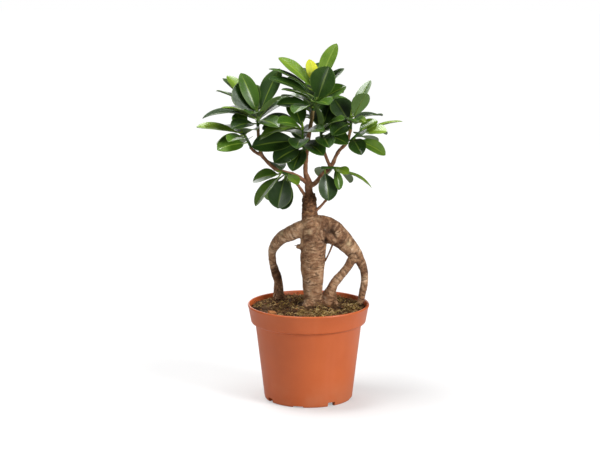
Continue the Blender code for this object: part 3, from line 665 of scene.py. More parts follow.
upperRoot = [
    (4, -3, 96, 5.0), (11, -5, 96.5, 4.6), (20.5, -6, 94.5, 4.6), (27.5, -5, 90, 4.6),
    (34, -3, 82, 4.6),
]
diagonalRoot = [
    (47, 5, 58, 5.0), (36, 4, 42, 4.3), (25, 4, 28, 4.6), (19, 4, 15, 6.2), (15, 3, 2, 6.8),
    (12, 2, -12, 5.0),
]
baseClump = [
    (24, 10, 24, 3.6), (23, 9, 13, 5.6), (25, 9, 3, 5.8), (27, 10, -10, 4.0),
]
frontFlare = [
    (4, -2, 14, 7.0), (-4, -8, 3, 5.6), (-12, -13, -8, 3.6),
]
backFlare = [
    (6, 4, 16, 7.0), (4, 14, 4, 5.4), (1, 22, -8, 3.6),
]
snag = [
    (-4, 0, 66, 3.6), (-9.5, -1, 68, 2.6), (-12, -1, 69, 2.0),
]
rootRoutes = [trunk, leftArm, rightArm, upperRoot, diagonalRoot, baseClump, frontFlare, backFlare, snag]
rootSizes = {
    "voxel": 0.8, "lumps": 0.8, "lumpScale": 0.11, "wrinkle": 0.26, "wrinkleSpacing": 2.4,
    # creases: route, width and depth, the depth also painting shade into the crease; knobs: centre, radius,
    # height and darkness, the darkness painting shade on the knob; spots of painted highlight: centre and
    # radius
    "creases": [
        ([(13, -13, 93), (18, -13.5, 91), (22, -13.5, 87.5), (25, -13, 82.5), (28, -12, 77)], 1.9, 3.4),
        ([(15.5, -10, 86), (16.8, -9.5, 79), (17.6, -8, 71)], 1.9, 2.0),
        ([(-7.5, -8, 92), (-8.5, -8, 84), (-8.8, -7, 75)], 1.8, 1.3),
        ([(38, -1, 56), (42, -1.8, 60), (47, -1.4, 61), (51, 0.5, 55)], 1.4, 1.6),
        ([(33, -10, 86), (39, -8, 82), (46, -5, 74)], 0.7, 0.7),
        ([(14, -6, 22), (15.5, -6, 12), (15, -6, 5)], 1.6, 1.4),
    ],
    "knobs": [
        ((-33.5, 25.5, 39), 4.0, 1.0, 0.8), ((-30.5, 28, 32), 4.0, 1.2, 0.8), ((-36, 27, 33), 3.0, 0.7, 0.6),
        ((22.5, -12.5, 85.5), 4.2, -1.6, 1.0), ((13, -10, 98), 4.0, 1.0, 0.1), ((26, -11, 92), 4.0, 1.4, 0.0),
        ((30, -10, 88), 3.5, 0.9, 0.0), ((24, 4, 23), 4.0, 1.2, 0.4), ((27, 5, 14), 4.0, 1.0, 0.4),
        ((53, 8, 44), 3.0, 0.6, 0.0), ((52, 10, 20), 3.0, 0.7, 0.2), ((-3, -8, 108), 3.5, 0.8, 0.0),
        ((6, -6, 116), 3.0, 0.8, 0.1), ((-14, -5, 88), 4.0, 0.8, 0.0), ((8, -13, 60), 5.0, 0.5, 0.0),
    ],
    "highlightSpots": [((0.5, -12, 85), 2.2), ((21, -13, 90.5), 1.4), ((-27, 4, 81), 2.5), ((40, -5, 72), 3.0)],
    "rootlet": [(25, -4, 75), (23.6, -5.2, 70), (21.4, -5.8, 64.5), (19, -5.2, 59), (16.6, -3.5, 54)],
    "rootletRadii": (1.2, 0.95, 0.85, 0.8, 1.0), "hairArch": 1.2,
    # where the rough bark and the dark neck begin, and how far each takes to grow
    "rough": (96.0, 8.0), "neck": (95.0, 7.0),
    # root hairs: start, end and radius
    "hairs": [
        ((-31, 30, 22), (-24, 22, 7), 1.0), ((-31, 30, 20), (-36, 22, 6), 0.9),
        ((-30, 30, 16), (-20, 27, 7), 0.8), ((22, 6, 12), (31, -2, 6), 0.9),
        ((-8, -2, 66), (-14, -3, 70), 0.9),
    ],
}


def barkMaterial():
    recipe = newMaterial("root_bark", Specular_IOR_Level=0.3)
    place = recipe.place()
    along, neck, hollowShade, paintedHighlight = map(recipe.attribute, ("along", "neck", "hollowShade", "paintedHighlight"))
    big = recipe.cloud(place, 45.0, 5.0, 0.6)
    mid = recipe.cloud(place, 160.0, 5.0, 0.65)
    fine = recipe.cloud(place, 900.0, 4.0, 0.7)
    # wrinkles run round the root: noise that changes fast along it and slowly round it
    warp = along * 520.0 + recipe.cloud(place, 90.0, 3.0) * 5.0
    x, y = recipe.parts(place)[:2]
    wrinkle = recipe.cloud(recipe.joined(warp, x * 110.0 + mid, y * 110.0 + big * 2.0), 1.0, 3.0, 0.6)
    crack = recipe.between(wrinkle, 0.40, 0.47, 1.0, 0.0) * recipe.between(mid, 0.38, 0.55)
    ring = recipe.between(wrinkle, 0.54, 0.7)
    flake = recipe.cells(recipe.stretched(place, (300.0, 300.0, 520.0)), 1.0)
    dash = recipe.cells(recipe.joined(along * 520.0, big * 9.0, mid * 3.0), 1.0)
    base = recipe.ramp(
        recipe.between(big * 0.5 + mid * 0.5, 0.37, 0.64),
        [
            (0.0, (0.085, 0.036, 0.016)), (0.35, (0.30, 0.150, 0.074)), (0.65, (0.52, 0.305, 0.165)),
            (1.0, (0.78, 0.54, 0.35)),
        ],
    )
    rust = recipe.between(recipe.cloud(place, 26.0, 2.0), 0.5, 0.66, 0.0, 0.55)
    base = recipe.mix(rust, base, (0.36, 0.17, 0.075))
    base = recipe.mix(recipe.between(dash, 0.05, 0.22, 0.45, 0.0), base, (0.60, 0.45, 0.31))
    base = recipe.mix(ring * 0.3, base, (0.74, 0.56, 0.39))
    # painted shade: the cracks between the wrinkles are darkened
    base = recipe.mix(crack * 0.6, base, (0.10, 0.045, 0.02))
    neckColour = recipe.ramp(
        flake * 0.5 + fine * 0.5,
        [
            (0.2, (0.024, 0.009, 0.005)), (0.4, (0.10, 0.036, 0.014)), (0.6, (0.24, 0.098, 0.036)),
            (0.82, (0.52, 0.30, 0.14)),
        ],
    )
    base = recipe.mix(neck * 0.85, base, neckColour)
    # painted highlights: pale patches near the spots, where light would catch the roots
    base = recipe.mix(paintedHighlight * 0.8, base, (0.62, 0.46, 0.26))
    # painted shade: the creases, dents and darkened knobs go nearly black
    base = recipe.mix(hollowShade * 0.8, base, (0.03, 0.014, 0.008))
    height = wrinkle * 0.8 + mid * 0.6 + fine * 0.3 - crack * 0.7 - neck * flake * 0.6
    return recipe.finished(base, recipe.between(mid, 0.3, 0.7, 0.62, 0.85), height, 0.9, 0.002)


def routeSamples():
    # (centre, radius, direction, length so far) of points along every root
    samples = []
    for number, route in enumerate(rootRoutes):
        fine = smoothRoute(route, 8)
        points = [treePoint(*spot[:3]) for spot in fine]
        length = 100.0 * number
        for spot, point, after, before in zip(fine, points, [*points[1:], points[-1]], [points[0], *points]):
            samples.append((point, spot[3] * mm, (after - before).normalized(), length))
            length += (after - point).length / mm
    return samples


def makeRootstock(size, material):
    tubes = [tubeMesh(f"root_{index}", smoothRoute(route, 6), 8) for index, route in enumerate(rootRoutes)]
    names = ("along", "neck", "hollowShade", "paintedHighlight")
    shape = newShape(*names, mesh=fused("roots_joined", tubes, size["voxel"], 5))
    along, neck, hollowShade, paintedHighlight = (shape.verts.layers.float[name] for name in names)
    samples = routeSamples()
    tree = KDTree(len(samples))
    for index, sample in enumerate(samples):
        tree.insert(sample[0], index)
    tree.balance()
    shape.normal_update()
    creases = []
    for route, width, depth in size["creases"]:
        points = [treePoint(*point) for point in route]
        creases += [(start, end - start, width * mm, depth) for start, end in zip(points, points[1:])]
    knobs = [(treePoint(*centre), radius * mm, *rest) for centre, radius, *rest in size["knobs"]]
    highlightSpots = [(treePoint(*centre), radius * mm) for centre, radius in size["highlightSpots"]]
    for vertex in shape.verts:
        close = [samples[near[1]] for near in tree.find_n(vertex.co, 12)]
        best = min(close, key=lambda sample: (vertex.co - sample[0]).length - sample[1])
        run = best[3] + (vertex.co - best[0]).dot(best[2]) / mm
        spot = vertex.co / mm
        level = spot.z - treeLevel
        rough = clamped((level - size["rough"][0]) / size["rough"][1])
        drop = size["lumps"] * (noise.noise(spot * size["lumpScale"]) + 0.3 * noise.noise(spot * 0.4))
        ring = noise.noise(Vector((run / size["wrinkleSpacing"], spot.x * 0.05, spot.y * 0.05)))
        drop += size["wrinkle"] * ring * (0.5 + 0.8 * rough)
        drop += rough * 0.8 * noise.noise(spot * 0.55)
        # dark gathers the painted shade of the creases, dents and knobs
        dark = sunk = 0.0
        for start, step, width, depth in creases:
            share = clamped((vertex.co - start).dot(step) / step.length_squared)
            fall = falloff(vertex.co - start, step * share, width)
            sunk, dark = max(sunk, depth * fall), max(dark, fall * min(depth / 2.0, 1.0))
        drop -= sunk
        for centre, reach, height, shade in knobs:
            fall = falloff(vertex.co, centre, reach)
            drop += height * fall * (1.0 + 0.5 * noise.noise(spot * 0.6))
            dark = max(dark, shade * fall)
        # painted highlight, strongest at each spot's centre
        vertex[paintedHighlight] = max(falloff(vertex.co, *light) for light in highlightSpots)
        vertex[along] = run * mm
        above = level - size["neck"][0] + 5.0 * noise.noise(spot * 0.15)
        vertex[neck] = clamped(above / size["neck"][1])
        vertex[hollowShade] = dark
        vertex.co += vertex.normal * drop * mm
    rootlet = [treePoint(*point) for point in size["rootlet"]]
    setLayer(shape, "neck", sweep(shape, rootlet, size["rootletRadii"], 8), 0.8)
    for start, end, radius in size["hairs"]:
        points = [treePoint(*start).lerp(treePoint(*end), t) for t in (0.0, 0.5, 1.0)]
        points[1] += Vector((0, 0, size["hairArch"] * mm))
        setLayer(shape, "neck", sweep(shape, points, [radius, 0.7 * radius, 0.3 * radius], 6), 0.6)
    finishPiece("rootstock_bark", shape, material, "root_bark", "rootstock", smoothAngle=80)


makeRootstock(rootSizes, barkMaterial())
print("rootstock ready")

# the grafted branches and twigs

scions = {
    "centre_scion": [
        [(0.5, 0, 123, 4.0), (0, 0, 128, 3.9), (0, 0, 134, 3.4), (-3, 1, 143, 2.4), (-2.5, 1, 157, 2.2)],
        [(0, 0, 130, 3.0), (6, -1, 132, 2.5), (13.5, -2, 141, 2.2), (22, -2, 149, 2.1), (26, -2, 157, 1.9)],
        [(-2.6, 1.1, 154, 2.0), (-1, 2, 170, 2.0), (2, 2, 190, 1.9), (4.5, 1, 205, 1.8)],
        [(21.6, -2, 148.4, 1.7), (16, -3, 163, 1.6), (12.5, -4, 177, 1.5)],
        [(24.9, -2.1, 155, 1.75), (30, -2, 165, 1.8), (38, -3, 174, 1.7), (41.5, -3, 187, 1.6)],
    ],
    "left_scion": [
        [
            (-6.2, -1.4, 136.4, 2.1), (-14, -3, 141, 2.1), (-30, -5, 146, 2.0), (-38, -6, 152, 1.9),
            (-48, -7, 163, 1.8),
        ],
        [(-46, -7, 161, 1.8), (-49, -6, 170, 1.7), (-49.5, -6, 180, 1.6), (-50, -6, 189, 1.6)],
        [(-46, -7, 161, 1.7), (-53, -8, 165, 1.5), (-58, -8, 170, 1.5)],
    ],
    "back_twig": [
        [(-1, 4.8, 172, 1.7), (-1, 12, 177, 1.6), (1, 22, 183, 1.5), (3, 28, 190, 1.5)],
    ],
    "low_left_twig": [
        [(-5.8, -4, 124, 1.6), (-9.5, -6, 130, 1.5), (-12.6, -7, 134.5, 1.4), (-15, -7.8, 138.4, 1.3)],
    ],
    "low_right_twig": [
        [(9.5, -3, 107, 1.4), (14, -5, 112, 1.3), (22, -6, 122, 1.2), (29, -7, 131, 1.1)],
    ],
}
scionSizes = {
    "voxel": 0.45, "nodeSpacing": 9.0, "nodeSwell": 0.3,
    # where each branch leaves the wood that it grows from
    "collars": {
        "centre_scion": [(0.7, 0, 113, 5.6), (0.6, 0, 119, 5.4)], "left_scion": [(-1.5, 0, 133, 2.6)],
        "back_twig": [(-1, 1.5, 169, 1.9)], "low_left_twig": [(-2.5, -1, 119, 2.2)],
        "low_right_twig": [(5, -1, 103, 2.0)],
    },
}


def scionMaterial():
    recipe = newMaterial("scion_bark", Specular_IOR_Level=0.35)
    place = recipe.place()
    level = recipe.parts(place)[2]
    big = recipe.cloud(place, 110.0, 4.0)
    mid = recipe.cloud(place, 420.0, 4.0, 0.65)
    specks = recipe.between(recipe.cells(place, 480.0), 0.0, 0.22, 1.0, 0.0)
    base = recipe.ramp(
        recipe.between(big * 0.6 + mid * 0.4, 0.3, 0.72),
        [(0.0, (0.11, 0.038, 0.016)), (0.5, (0.28, 0.12, 0.055)), (1.0, (0.52, 0.30, 0.17))],
    )
    base = recipe.mix(specks * 0.4, base, (0.46, 0.33, 0.22))
    green = recipe.between(level + big * 0.02, 0.268, 0.292)
    base = recipe.mix(green * 0.55, base, (0.16, 0.17, 0.05))
    rough = recipe.between(mid, 0.3, 0.7, 0.5, 0.75)
    return recipe.finished(base, rough, mid * 0.8 + big * 0.5, 0.6, 0.0008)


def makeScion(name, routes, size, material):
    tubes = []
    for index, route in enumerate(routes):
        fine = smoothRoute([*size["collars"][name], *route] if index == 0 else route, 6)
        length = 0.0
        for place, point in enumerate(fine):
            if place:
                length += (Vector(point[:3]) - Vector(fine[place - 1][:3])).length
            ring = 0.5 + 0.5 * math.cos(fullTurn * length / size["nodeSpacing"])
            point[3] += size["nodeSwell"] * ring**8
        tubes.append(tubeMesh(f"{name}_{index}", fine, 4))
    shape = newShape(mesh=fused(name, tubes, size["voxel"], 3))
    shape.normal_update()
    for vertex in shape.verts:
        spot = vertex.co / mm
        vertex.co += vertex.normal * (0.16 * noise.noise(spot * 0.5) + 0.08 * noise.noise(spot * 1.3)) * mm
    finishPiece(f"{name}_bark", shape, material, "scion_bark", name, smoothAngle=80)


scionLook = scionMaterial()
for name, routes in scions.items():
    makeScion(name, routes, scionSizes, scionLook)
print("branches ready")

# the leaves

# each spray: its shoot from start to end, then its leaves as (share along the shoot, tip from base x, y, z,
# width, curl, roll, tone); the first ones, as many as "single", stand on their own
sprays = {
    "left_rosette": {
        "shoot": [(-50, -6, 190), (-50.5, -6, 204)],
        "single": 5,
        "leaves": [
            (0.8, -19, 3, 32, 32, 15, 60, 0.12), (0.9, 22, 16, 43, 21, 20, 25, 0.32),
            (0.5, -54, -8, 2, 18, 60, 10, 0.1), (0.9, -45, 18, 20, 17, 35, 0, 0.5),
            (0.2, -25, -24, -2, 20, 40, 20, 0.02), (0.5, 23, -6, 25, 17, 25, -10, 0.15),
            (0.96, -28, 26, 38, 18, 20, 15, 0.8), (0.4, 21, -24, -3, 20, 40, 20, 0.45),
            (0.93, -33, 36, 36, 17, 25, 0, 0.3), (0.8, -34, 10, 27, 18, 30, 20, 0.5),
            (0.43, -35, -14, 14, 16, 35, 0, 0.85), (0.91, 0, 22, 28, 22, 20, 20, 0.5),
            (0.6, -6, -34, 8, 21, 50, 0, 0.2), (0.37, 30, 26, 16, 21, 40, 0, 0.25),
            (0.3, -10, 42, 6, 21, 45, 0, 0.2), (0.53, -38, 28, 4, 20, 40, 0, 0.15),
            (0.1, 14, 36, -10, 20, 45, 0, 0.3), (0.13, 34, 6, 0, 20, 45, 10, 0.25),
        ],
    },
    "left_low": {
        "shoot": [(-58, -8, 172), (-65, -9, 186)],
        "single": 3,
        "leaves": [
            (0.9, -46, -5, 6, 16, 25, 20, 0.85), (0.2, -30, -20, -5, 21, 35, 35, 0.6),
            (0.7, -25, -14, -11, 14, 75, -20, 0.75), (0.5, -18, -28, 0, 18, 35, 10, 0.55),
            (0.96, -6, 18, 16, 16, 20, 10, 0.45), (0.53, -32, 30, 6, 19, 40, 0, 0.35),
            (0.3, -8, 38, -8, 19, 40, 0, 0.45), (0.7, 10, -26, 10, 17, 40, 0, 0.2),
        ],
    },
    "top_rosette": {
        "shoot": [(4.7, 1, 206), (6, 0, 218), (8, 0, 231)],
        "single": 7,
        "leaves": [
            (0.35, 13, -5, 35, 29, 15, 85, 0.32), (0.95, 20, 18, 40, 17, 15, 20, 0.72),
            (0.96, -8, 12, 24, 13, 10, 10, 1.36), (0.8, -37, 14, 30, 18, 25, 20, 0.78),
            (0.7, -47, 4, 20, 15, 30, 5, 0.35), (0.5, -44, -6, 21, 18, 30, 20, 0.12),
            (0.5, 29, 12, 27, 17, 25, 10, 0.3), (0.15, 30, 0, 22, 20, 25, 35, 0.45),
            (0.3, -32, -16, 14, 15, 30, 5, 0.5), (0.06, -36, -4, 4, 18, 35, 30, 0.2),
            (0.18, 14, -32, 4, 22, 45, 10, 0.5), (0.9, 12, 30, 28, 18, 25, 0, 0.25),
            (0.7, -18, 36, 20, 20, 35, 0, 0.35), (0.4, 34, 26, 12, 20, 40, 0, 0.45),
            (0.33, 4, 42, 8, 21, 45, 0, 0.2), (0.2, -32, 32, 4, 20, 40, 0, 0.3),
            (0.08, -18, -32, -2, 20, 50, 0, 0.4),
        ],
    },
    "right_rosette": {
        "shoot": [(41.6, -3, 188.5), (42, -3, 200)],
        "single": 4,
        "leaves": [
            (0.5, -16, 10, 21, 25, 25, 35, 0.12), (0.8, 15, -10, 26, 18, 35, -40, 0.35),
            (0.3, -19, -24, -8, 19, 40, 25, 0.15), (0.9, 20, 24, 34, 14, 20, 0, 0.5),
            (0.6, 17, -8, 8, 12, 30, 10, 0.8), (0.5, 4, -32, 4, 19, 45, 0, 0.35),
            (0.63, -14, 36, 16, 20, 35, 0, 0.45), (0.4, 32, 26, 4, 20, 40, 0, 0.2),
            (0.2, 6, 42, -4, 20, 45, 0, 0.3), (0.3, -34, 22, 8, 19, 40, 10, 0.4),
        ],
    },
    "right_side": {
        "shoot": [(42.6, -6, 176.5), (48, -5, 182), (53, -4, 186)],
        "single": 3,
        "leaves": [
            (0.9, 41, 6, 9, 11, 30, 0, 0.95), (0.9, 25, -10, 1, 17, 30, 25, 0.9),
            (0.2, 31, -8, -16, 18, 30, 30, 0.62), (0.6, 20, 10, 8, 17, 25, 35, 0.7),
            (0.1, 8, -26, -12, 18, 40, 20, 0.15), (0.63, 3, -28, 2, 14, 40, 10, 0.35),
            (0.57, 30, 28, -2, 19, 40, 0, 0.45), (0.3, 22, 32, -12, 19, 40, 0, 0.2),
        ],
    },
    "centre_front": {
        "shoot": [(-4.5, -2, 166), (-6, -9, 178), (-6, -12, 190)],
        "single": 5,
        "leaves": [
            (0.45, -50, -8, -5, 24, 30, 50, 0.08), (0.95, -42, -4, -13, 16, 65, 20, 0.7),
            (0.2, -28, -22, -10, 23, 35, 45, 0.1), (0.9, -40, 14, 0, 20, 45, 35, 0.12),
            (0.8, 20, -24, 4, 18, 40, 20, 0.35), (0.1, -10, -26, -18, 20, 35, 10, 0.15),
            (0.9, -24, -26, 10, 20, 40, 30, 0.45), (0.5, -6, -34, -4, 21, 45, 0, 0.2),
            (0.4, 20, -26, -10, 20, 40, 20, 0.3), (0.95, -10, 18, 28, 20, 25, 20, 0.4),
            (0.6, -26, 34, 0, 20, 40, 0, 0.5), (0.3, 12, 36, -2, 20, 40, 0, 0.25),
        ],
    },
    "back_spray": {
        "shoot": [(3.4, 29, 191.5), (4, 33, 203)],
        "single": 0,
        "leaves": [
            (0.9, -26, 10, 32, 20, 25, 20, 0.2), (0.93, 24, 12, 32, 20, 25, 20, 0.3),
            (0.7, -38, 14, 10, 20, 40, 10, 0.4), (0.73, 36, 16, 10, 20, 40, 10, 0.5),
            (0.5, -18, 38, 8, 20, 45, 0, 0.25), (0.53, 18, 38, 10, 20, 45, 0, 0.35),
            (0.87, 2, 26, 34, 20, 20, 0, 0.45), (0.2, 2, 42, -8, 20, 45, 0, 0.2),
            (0.23, -30, 24, -12, 20, 45, 0, 0.3), (0.17, 30, 26, -12, 20, 45, 0, 0.4),
        ],
    },
    "right_inner": {
        "shoot": [(12.4, -4.4, 179), (12, -5, 190)],
        "single": 3,
        "leaves": [
            (0.8, 10, 14, 26, 20, 25, 20, 0.1), (0.2, 26, -20, -6, 20, 40, 30, 0.25),
            (0.6, -8, -14, 30, 20, 25, 40, 0.08), (0.6, 24, -22, 12, 20, 35, 20, 0.5),
            (0.1, 12, -30, -12, 20, 40, 10, 0.25), (0.5, 30, 20, 10, 19, 35, 0, 0.35),
            (0.3, 16, 38, -4, 20, 40, 0, 0.45), (0.53, -10, 38, 12, 20, 40, 0, 0.2),
        ],
    },
    "low_left": {
        "shoot": [(-18, -8.5, 142), (-27, -10, 145)],
        "single": 4,
        "leaves": [
            (0.5, -8, -12, -33, 26, 25, 20, 0.1), (0.96, -20, -6, -37, 23, 20, 25, 0.62),
            (0.1, -7, 0, -35, 21, 20, 70, 0.15), (0.96, -28, 4, -15, 21, 30, 30, 0.6),
            (0.3, 10, -16, -8, 12, 30, 10, 0.75), (0.9, -20, 24, -4, 19, 45, 10, 0.35),
            (0.5, -14, 32, -20, 20, 40, 0, 0.45), (0.33, 14, 30, -20, 19, 40, 0, 0.2),
        ],
    },
    "low_right": {
        "shoot": [(15, -6.5, 149), (29, -8, 149)],
        "single": 3,
        "leaves": [
            (0.06, 4, -8, -32, 21, 25, 10, 0.15), (0.85, 12, -14, -4, 13, 40, 20, 0.85),
            (0.95, 34, -4, -19, 11, 45, 0, 0.8), (0.8, 4, -8, -21, 10, 30, 0, 0.6),
            (0.7, 14, -2, -17, 9, 20, 0, 0.7), (0.5, 16, 30, -12, 19, 40, 0, 0.35),
            (0.2, -4, 34, -16, 19, 40, 0, 0.45),
        ],
    },
}
leafSizes = {
    "thickness": 0.7, "fold": 16.0, "petioleWidth": 1.5, "petioleShare": 0.12, "shootRadius": 1.5,
    "shootTaper": 0.3, "gap": 0.35, "growthShares": (1.0, 0.8, 0.6, 0.4), "turnStep": 3, "mostTurn": 39,
    "blade": 0.42, "bladeStart": 0.09, "fineSteps": 22, "fineColumns": 8, "wave": 0.5,
    "shootTone": 0.42, "shootRoot": 2.4, "budTone": 0.95, "budReach": 7.0,
    # where the leaf map is plain, for stalks and for shoots
    "stalkSpot": (0.3, 0.5), "shootSpot": (0.3, 0.3),
}
coarseStations = (0.0, leafSizes["petioleShare"], 0.32, 0.58, 0.84, 1.0)


def leafMaterial():
    recipe = newMaterial("leaf_green", Coat_Weight=0.2, Coat_Roughness=0.16, Specular_IOR_Level=0.4)
    place = recipe.place()
    run, across = recipe.parts(recipe.add("ShaderNodeUVMap", {"uv_map": "leafMap"}))[:2]
    tone = recipe.attribute("tone")
    under = recipe.between(run, 1.49, 1.51)
    run = run - under * 2.0
    side = abs(across - 0.5) * 2.0
    cloud = recipe.cloud(place, 60.0, 3.0)
    fine = recipe.cloud(place, 700.0, 3.0)
    # side veins leave the midrib at a slant and curve towards the tip
    slant = run * 26.0 - side * 3.2 + cloud * 1.2
    vein = recipe.between((slant * fullTurn).sine(), 0.82, 1.0)
    vein = vein * recipe.between(side, 0.1, 0.25) * recipe.between(side, 0.8, 0.95, 1.0, 0.0)
    rib = recipe.between(side, 0.035, 0.1, 1.0, 0.0) * recipe.between(run, 0.75, 1.0, 1.0, 0.35)
    margin = recipe.between(side, 0.9, 1.0)
    blade = recipe.ramp(
        recipe.between(tone + (cloud - 0.5) * 0.45 + (fine - 0.5) * 0.1 + (run - 0.5) * 0.12, 0.0, 1.6),
        [
            (0.0, (0.009, 0.026, 0.004)), (0.2, (0.020, 0.060, 0.005)), (0.38, (0.060, 0.140, 0.008)),
            (0.6, (0.19, 0.30, 0.022)), (0.8, (0.38, 0.44, 0.025)), (1.0, (0.72, 0.70, 0.015)),
        ],
    )
    lighter = recipe.mix(0.5, blade, (0.20, 0.34, 0.055))
    top = recipe.mix(vein * 0.3, blade, lighter)
    top = recipe.mix(margin * 0.35, top, (0.22, 0.34, 0.05))
    top = recipe.mix(rib * recipe.between(tone, 0.0, 0.6, 0.22, 0.6), top, (0.27, 0.38, 0.05))
    below = recipe.mix(0.6, blade, (0.17, 0.28, 0.075))
    below = recipe.mix(rib * 0.6 + vein * 0.2, below, (0.34, 0.43, 0.14))
    gloss = recipe.between(cloud * 0.5 + under * 0.6, 0.2, 1.0, 0.3, 0.6)
    height = fine * 0.02 + vein * 0.5 - rib * 0.4 + recipe.cloud(place, 110.0, 1.0) * 1.2
    return recipe.finished(recipe.mix(under, top, below), gloss, height, 0.35, 0.0007)


def halfWidth(along, width, size=leafSizes):
    if along <= size["petioleShare"]:
        return 0.5 * size["petioleWidth"]
    share = (along - size["petioleShare"]) / (1.0 - size["petioleShare"])
    oval = 2.76 * share**0.75 * (1.0 - share) ** 0.72 * (0.92 + 0.16 * share)
    return max(0.5 * width * oval, 0.25)


def leafFrame(base, reach, curl, roll):
    # the leaf's start, directions and the arc that it bends along
    chord = Vector(reach)
    length = chord.length
    ahead = chord.normalized()
    up = Vector((0, 0, 1)) - ahead * ahead.z
    toFront = 1.0 if ahead.x >= 0.0 else -1.0
    up = Matrix.Rotation(math.radians(roll * toFront), 3, ahead) @ up.normalized()
    bend = math.radians(max(curl, 1.0))
    return Vector(base), length, ahead, up, ahead.cross(up), bend, length / (2.0 * math.sin(0.5 * bend))


def leafSpot(leafPlace, along):
    # the midrib's point and the upward direction there
    base, length, ahead, up, side, bend, arc = leafPlace
    angle = bend * (along - 0.5)
    middle = ahead * (0.5 * length + arc * math.sin(angle))
    middle += up * arc * (math.cos(angle) - math.cos(0.5 * bend))
    return base + middle, up * math.cos(angle) + ahead * math.sin(angle)


def plainLeaf(base, reach, width, curl, roll, extra, first=0):
    # the leaf's simple solid, which finds its place among the others
    leafPlace = leafFrame(base, reach, curl, roll)
    fold = math.radians(leafSizes["fold"])
    stations = coarseStations[first:]
    shape = bmesh.new()
    bmesh.ops.create_grid(shape, x_segments=len(stations) - 1, y_segments=2, size=0.5)
    for vertex in shape.verts:
        along = stations[round((vertex.co.x + 0.5) * (len(stations) - 1))]
        across = round(vertex.co.y * 2.0)
        middle, normal = leafSpot(leafPlace, along)
        half = halfWidth(along, width) + extra
        spread = leafPlace[4] * across * half * math.cos(fold) + normal * abs(across) * half * math.sin(fold)
        vertex.co = (middle + spread) * mm
    bmesh.ops.recalc_face_normals(shape, faces=shape.faces)
    bmesh.ops.solidify(shape, geom=shape.faces[:], thickness=(leafSizes["thickness"] + 2.0 * extra) * mm)
    bmesh.ops.recalc_face_normals(shape, faces=shape.faces)
    tree = BVHTree.FromBMesh(shape)
    shape.free()
    return tree


def mapPlainly(shape, faces, spot):
    leafMap = shape.loops.layers.uv["leafMap"]
    for face in faces:
        for loop in face.loops:
            loop[leafMap].uv = spot


def fineLeaf(shape, pose, back, tone, seed, size=leafSizes):
    # the leaf as seen: a folded, waved blade on a round petiole that reaches back into its shoot
    base, reach, width, curl, roll = pose
    leafPlace = leafFrame(base, reach, curl, roll)
    fold = math.radians(size["fold"])
    blade = newShape("run", "wide", "tone")
    bmesh.ops.create_grid(blade, x_segments=size["fineSteps"], y_segments=size["fineColumns"], size=0.5)
    run, wide, toneLayer = (blade.verts.layers.float[name] for name in ("run", "wide", "tone"))
    start = size["bladeStart"]
    for vertex in blade.verts:
        along = start + (1.0 - start) * (vertex.co.x + 0.5) ** 0.9
        across = vertex.co.y * 2.0
        vertex[run], vertex[wide] = along, across
        vertex[toneLayer] = tone + 0.06 * noise.noise(Vector((along * 3, across, seed)))
        middle, normal = leafSpot(leafPlace, along)
        half = halfWidth(along, width)
        edge = abs(across)
        cup = math.sqrt(edge * edge + 0.015) - 0.1225
        ripple = noise.noise(Vector((along * 4.0, 2.0 * math.copysign(1, across), seed * 3.1)))
        rise = cup * half * math.sin(fold) + size["wave"] * edge**2 * ripple
        vertex.co = (middle + leafPlace[4] * across * half * math.cos(fold) + normal * rise) * mm
    blade.normal_update()
    blade.faces.ensure_lookup_table()
    middleFace = blade.faces[len(blade.faces) // 2]
    if middleFace.normal.dot(leafSpot(leafPlace, 0.5)[1]) < 0.0:
        bmesh.ops.reverse_faces(blade, faces=blade.faces)
    bmesh.ops.solidify(blade, geom=blade.faces[:], thickness=size["blade"] * mm)
    blade.normal_update()
    leafMap = blade.loops.layers.uv.new("leafMap")
    for face in blade.faces:
        middle = sum(vertex[run] for vertex in face.verts) / len(face.verts)
        below = face.normal.dot(leafSpot(leafPlace, middle)[1]) < 0.2
        for loop in face.loops:
            loop[leafMap].uv = (loop.vert[run] + 2.0 * below, 0.5 + 0.5 * loop.vert[wide])
    # the petiole and the raised rib under the blade
    points, radii = [], []
    for along in (0.0, 0.05, 0.1, 0.15, 0.3, 0.5, 0.7, 0.88):
        point, normal = leafSpot(leafPlace, along)
        point = point - back * max(0.0, 1.0 - along / 0.1)
        sink, radius = (0.15, 0.75) if along < 0.12 else (0.42, 0.62 * (1.0 - 0.75 * along))
        points.append((point - normal * sink) * mm)
        radii.append(radius)
    made = sweep(blade, points, radii, 7)
    setLayer(blade, "tone", made, 0.6 * tone + 0.22)
    stalk = set(made)
    mapPlainly(blade, [face for face in blade.faces if face.verts[0] in stalk], size["stalkSpot"])
    mesh = meshOf(blade, "leaf")
    shape.from_mesh(mesh)
    bpy.data.meshes.remove(mesh)


def treeOf(mesh):
    corners = [vertex.co for vertex in mesh.vertices]
    return BVHTree.FromPolygons(corners, [face.vertices for face in mesh.polygons])


def turnsToTry(size=leafSizes):
    steps = [step for step in itertools.product((0, 1, -1), repeat=3) if any(step)]
    steps.sort(key=lambda step: sum(map(abs, step)))
    for growth in size["growthShares"]:
        yield (0, 0, 0, growth)
        for turn in range(size["turnStep"], size["mostTurn"] + 1, size["turnStep"]):
            for swing, lift, twist in steps:
                yield (swing * turn, lift * turn, twist * turn, growth)


def turnedReach(reach, swing, lift):
    ahead = Vector(reach)
    side = ahead.cross(Vector((0, 0, 1))).normalized()
    return Matrix.Rotation(math.radians(swing), 3, "Z") @ Matrix.Rotation(math.radians(lift), 3, side) @ ahead


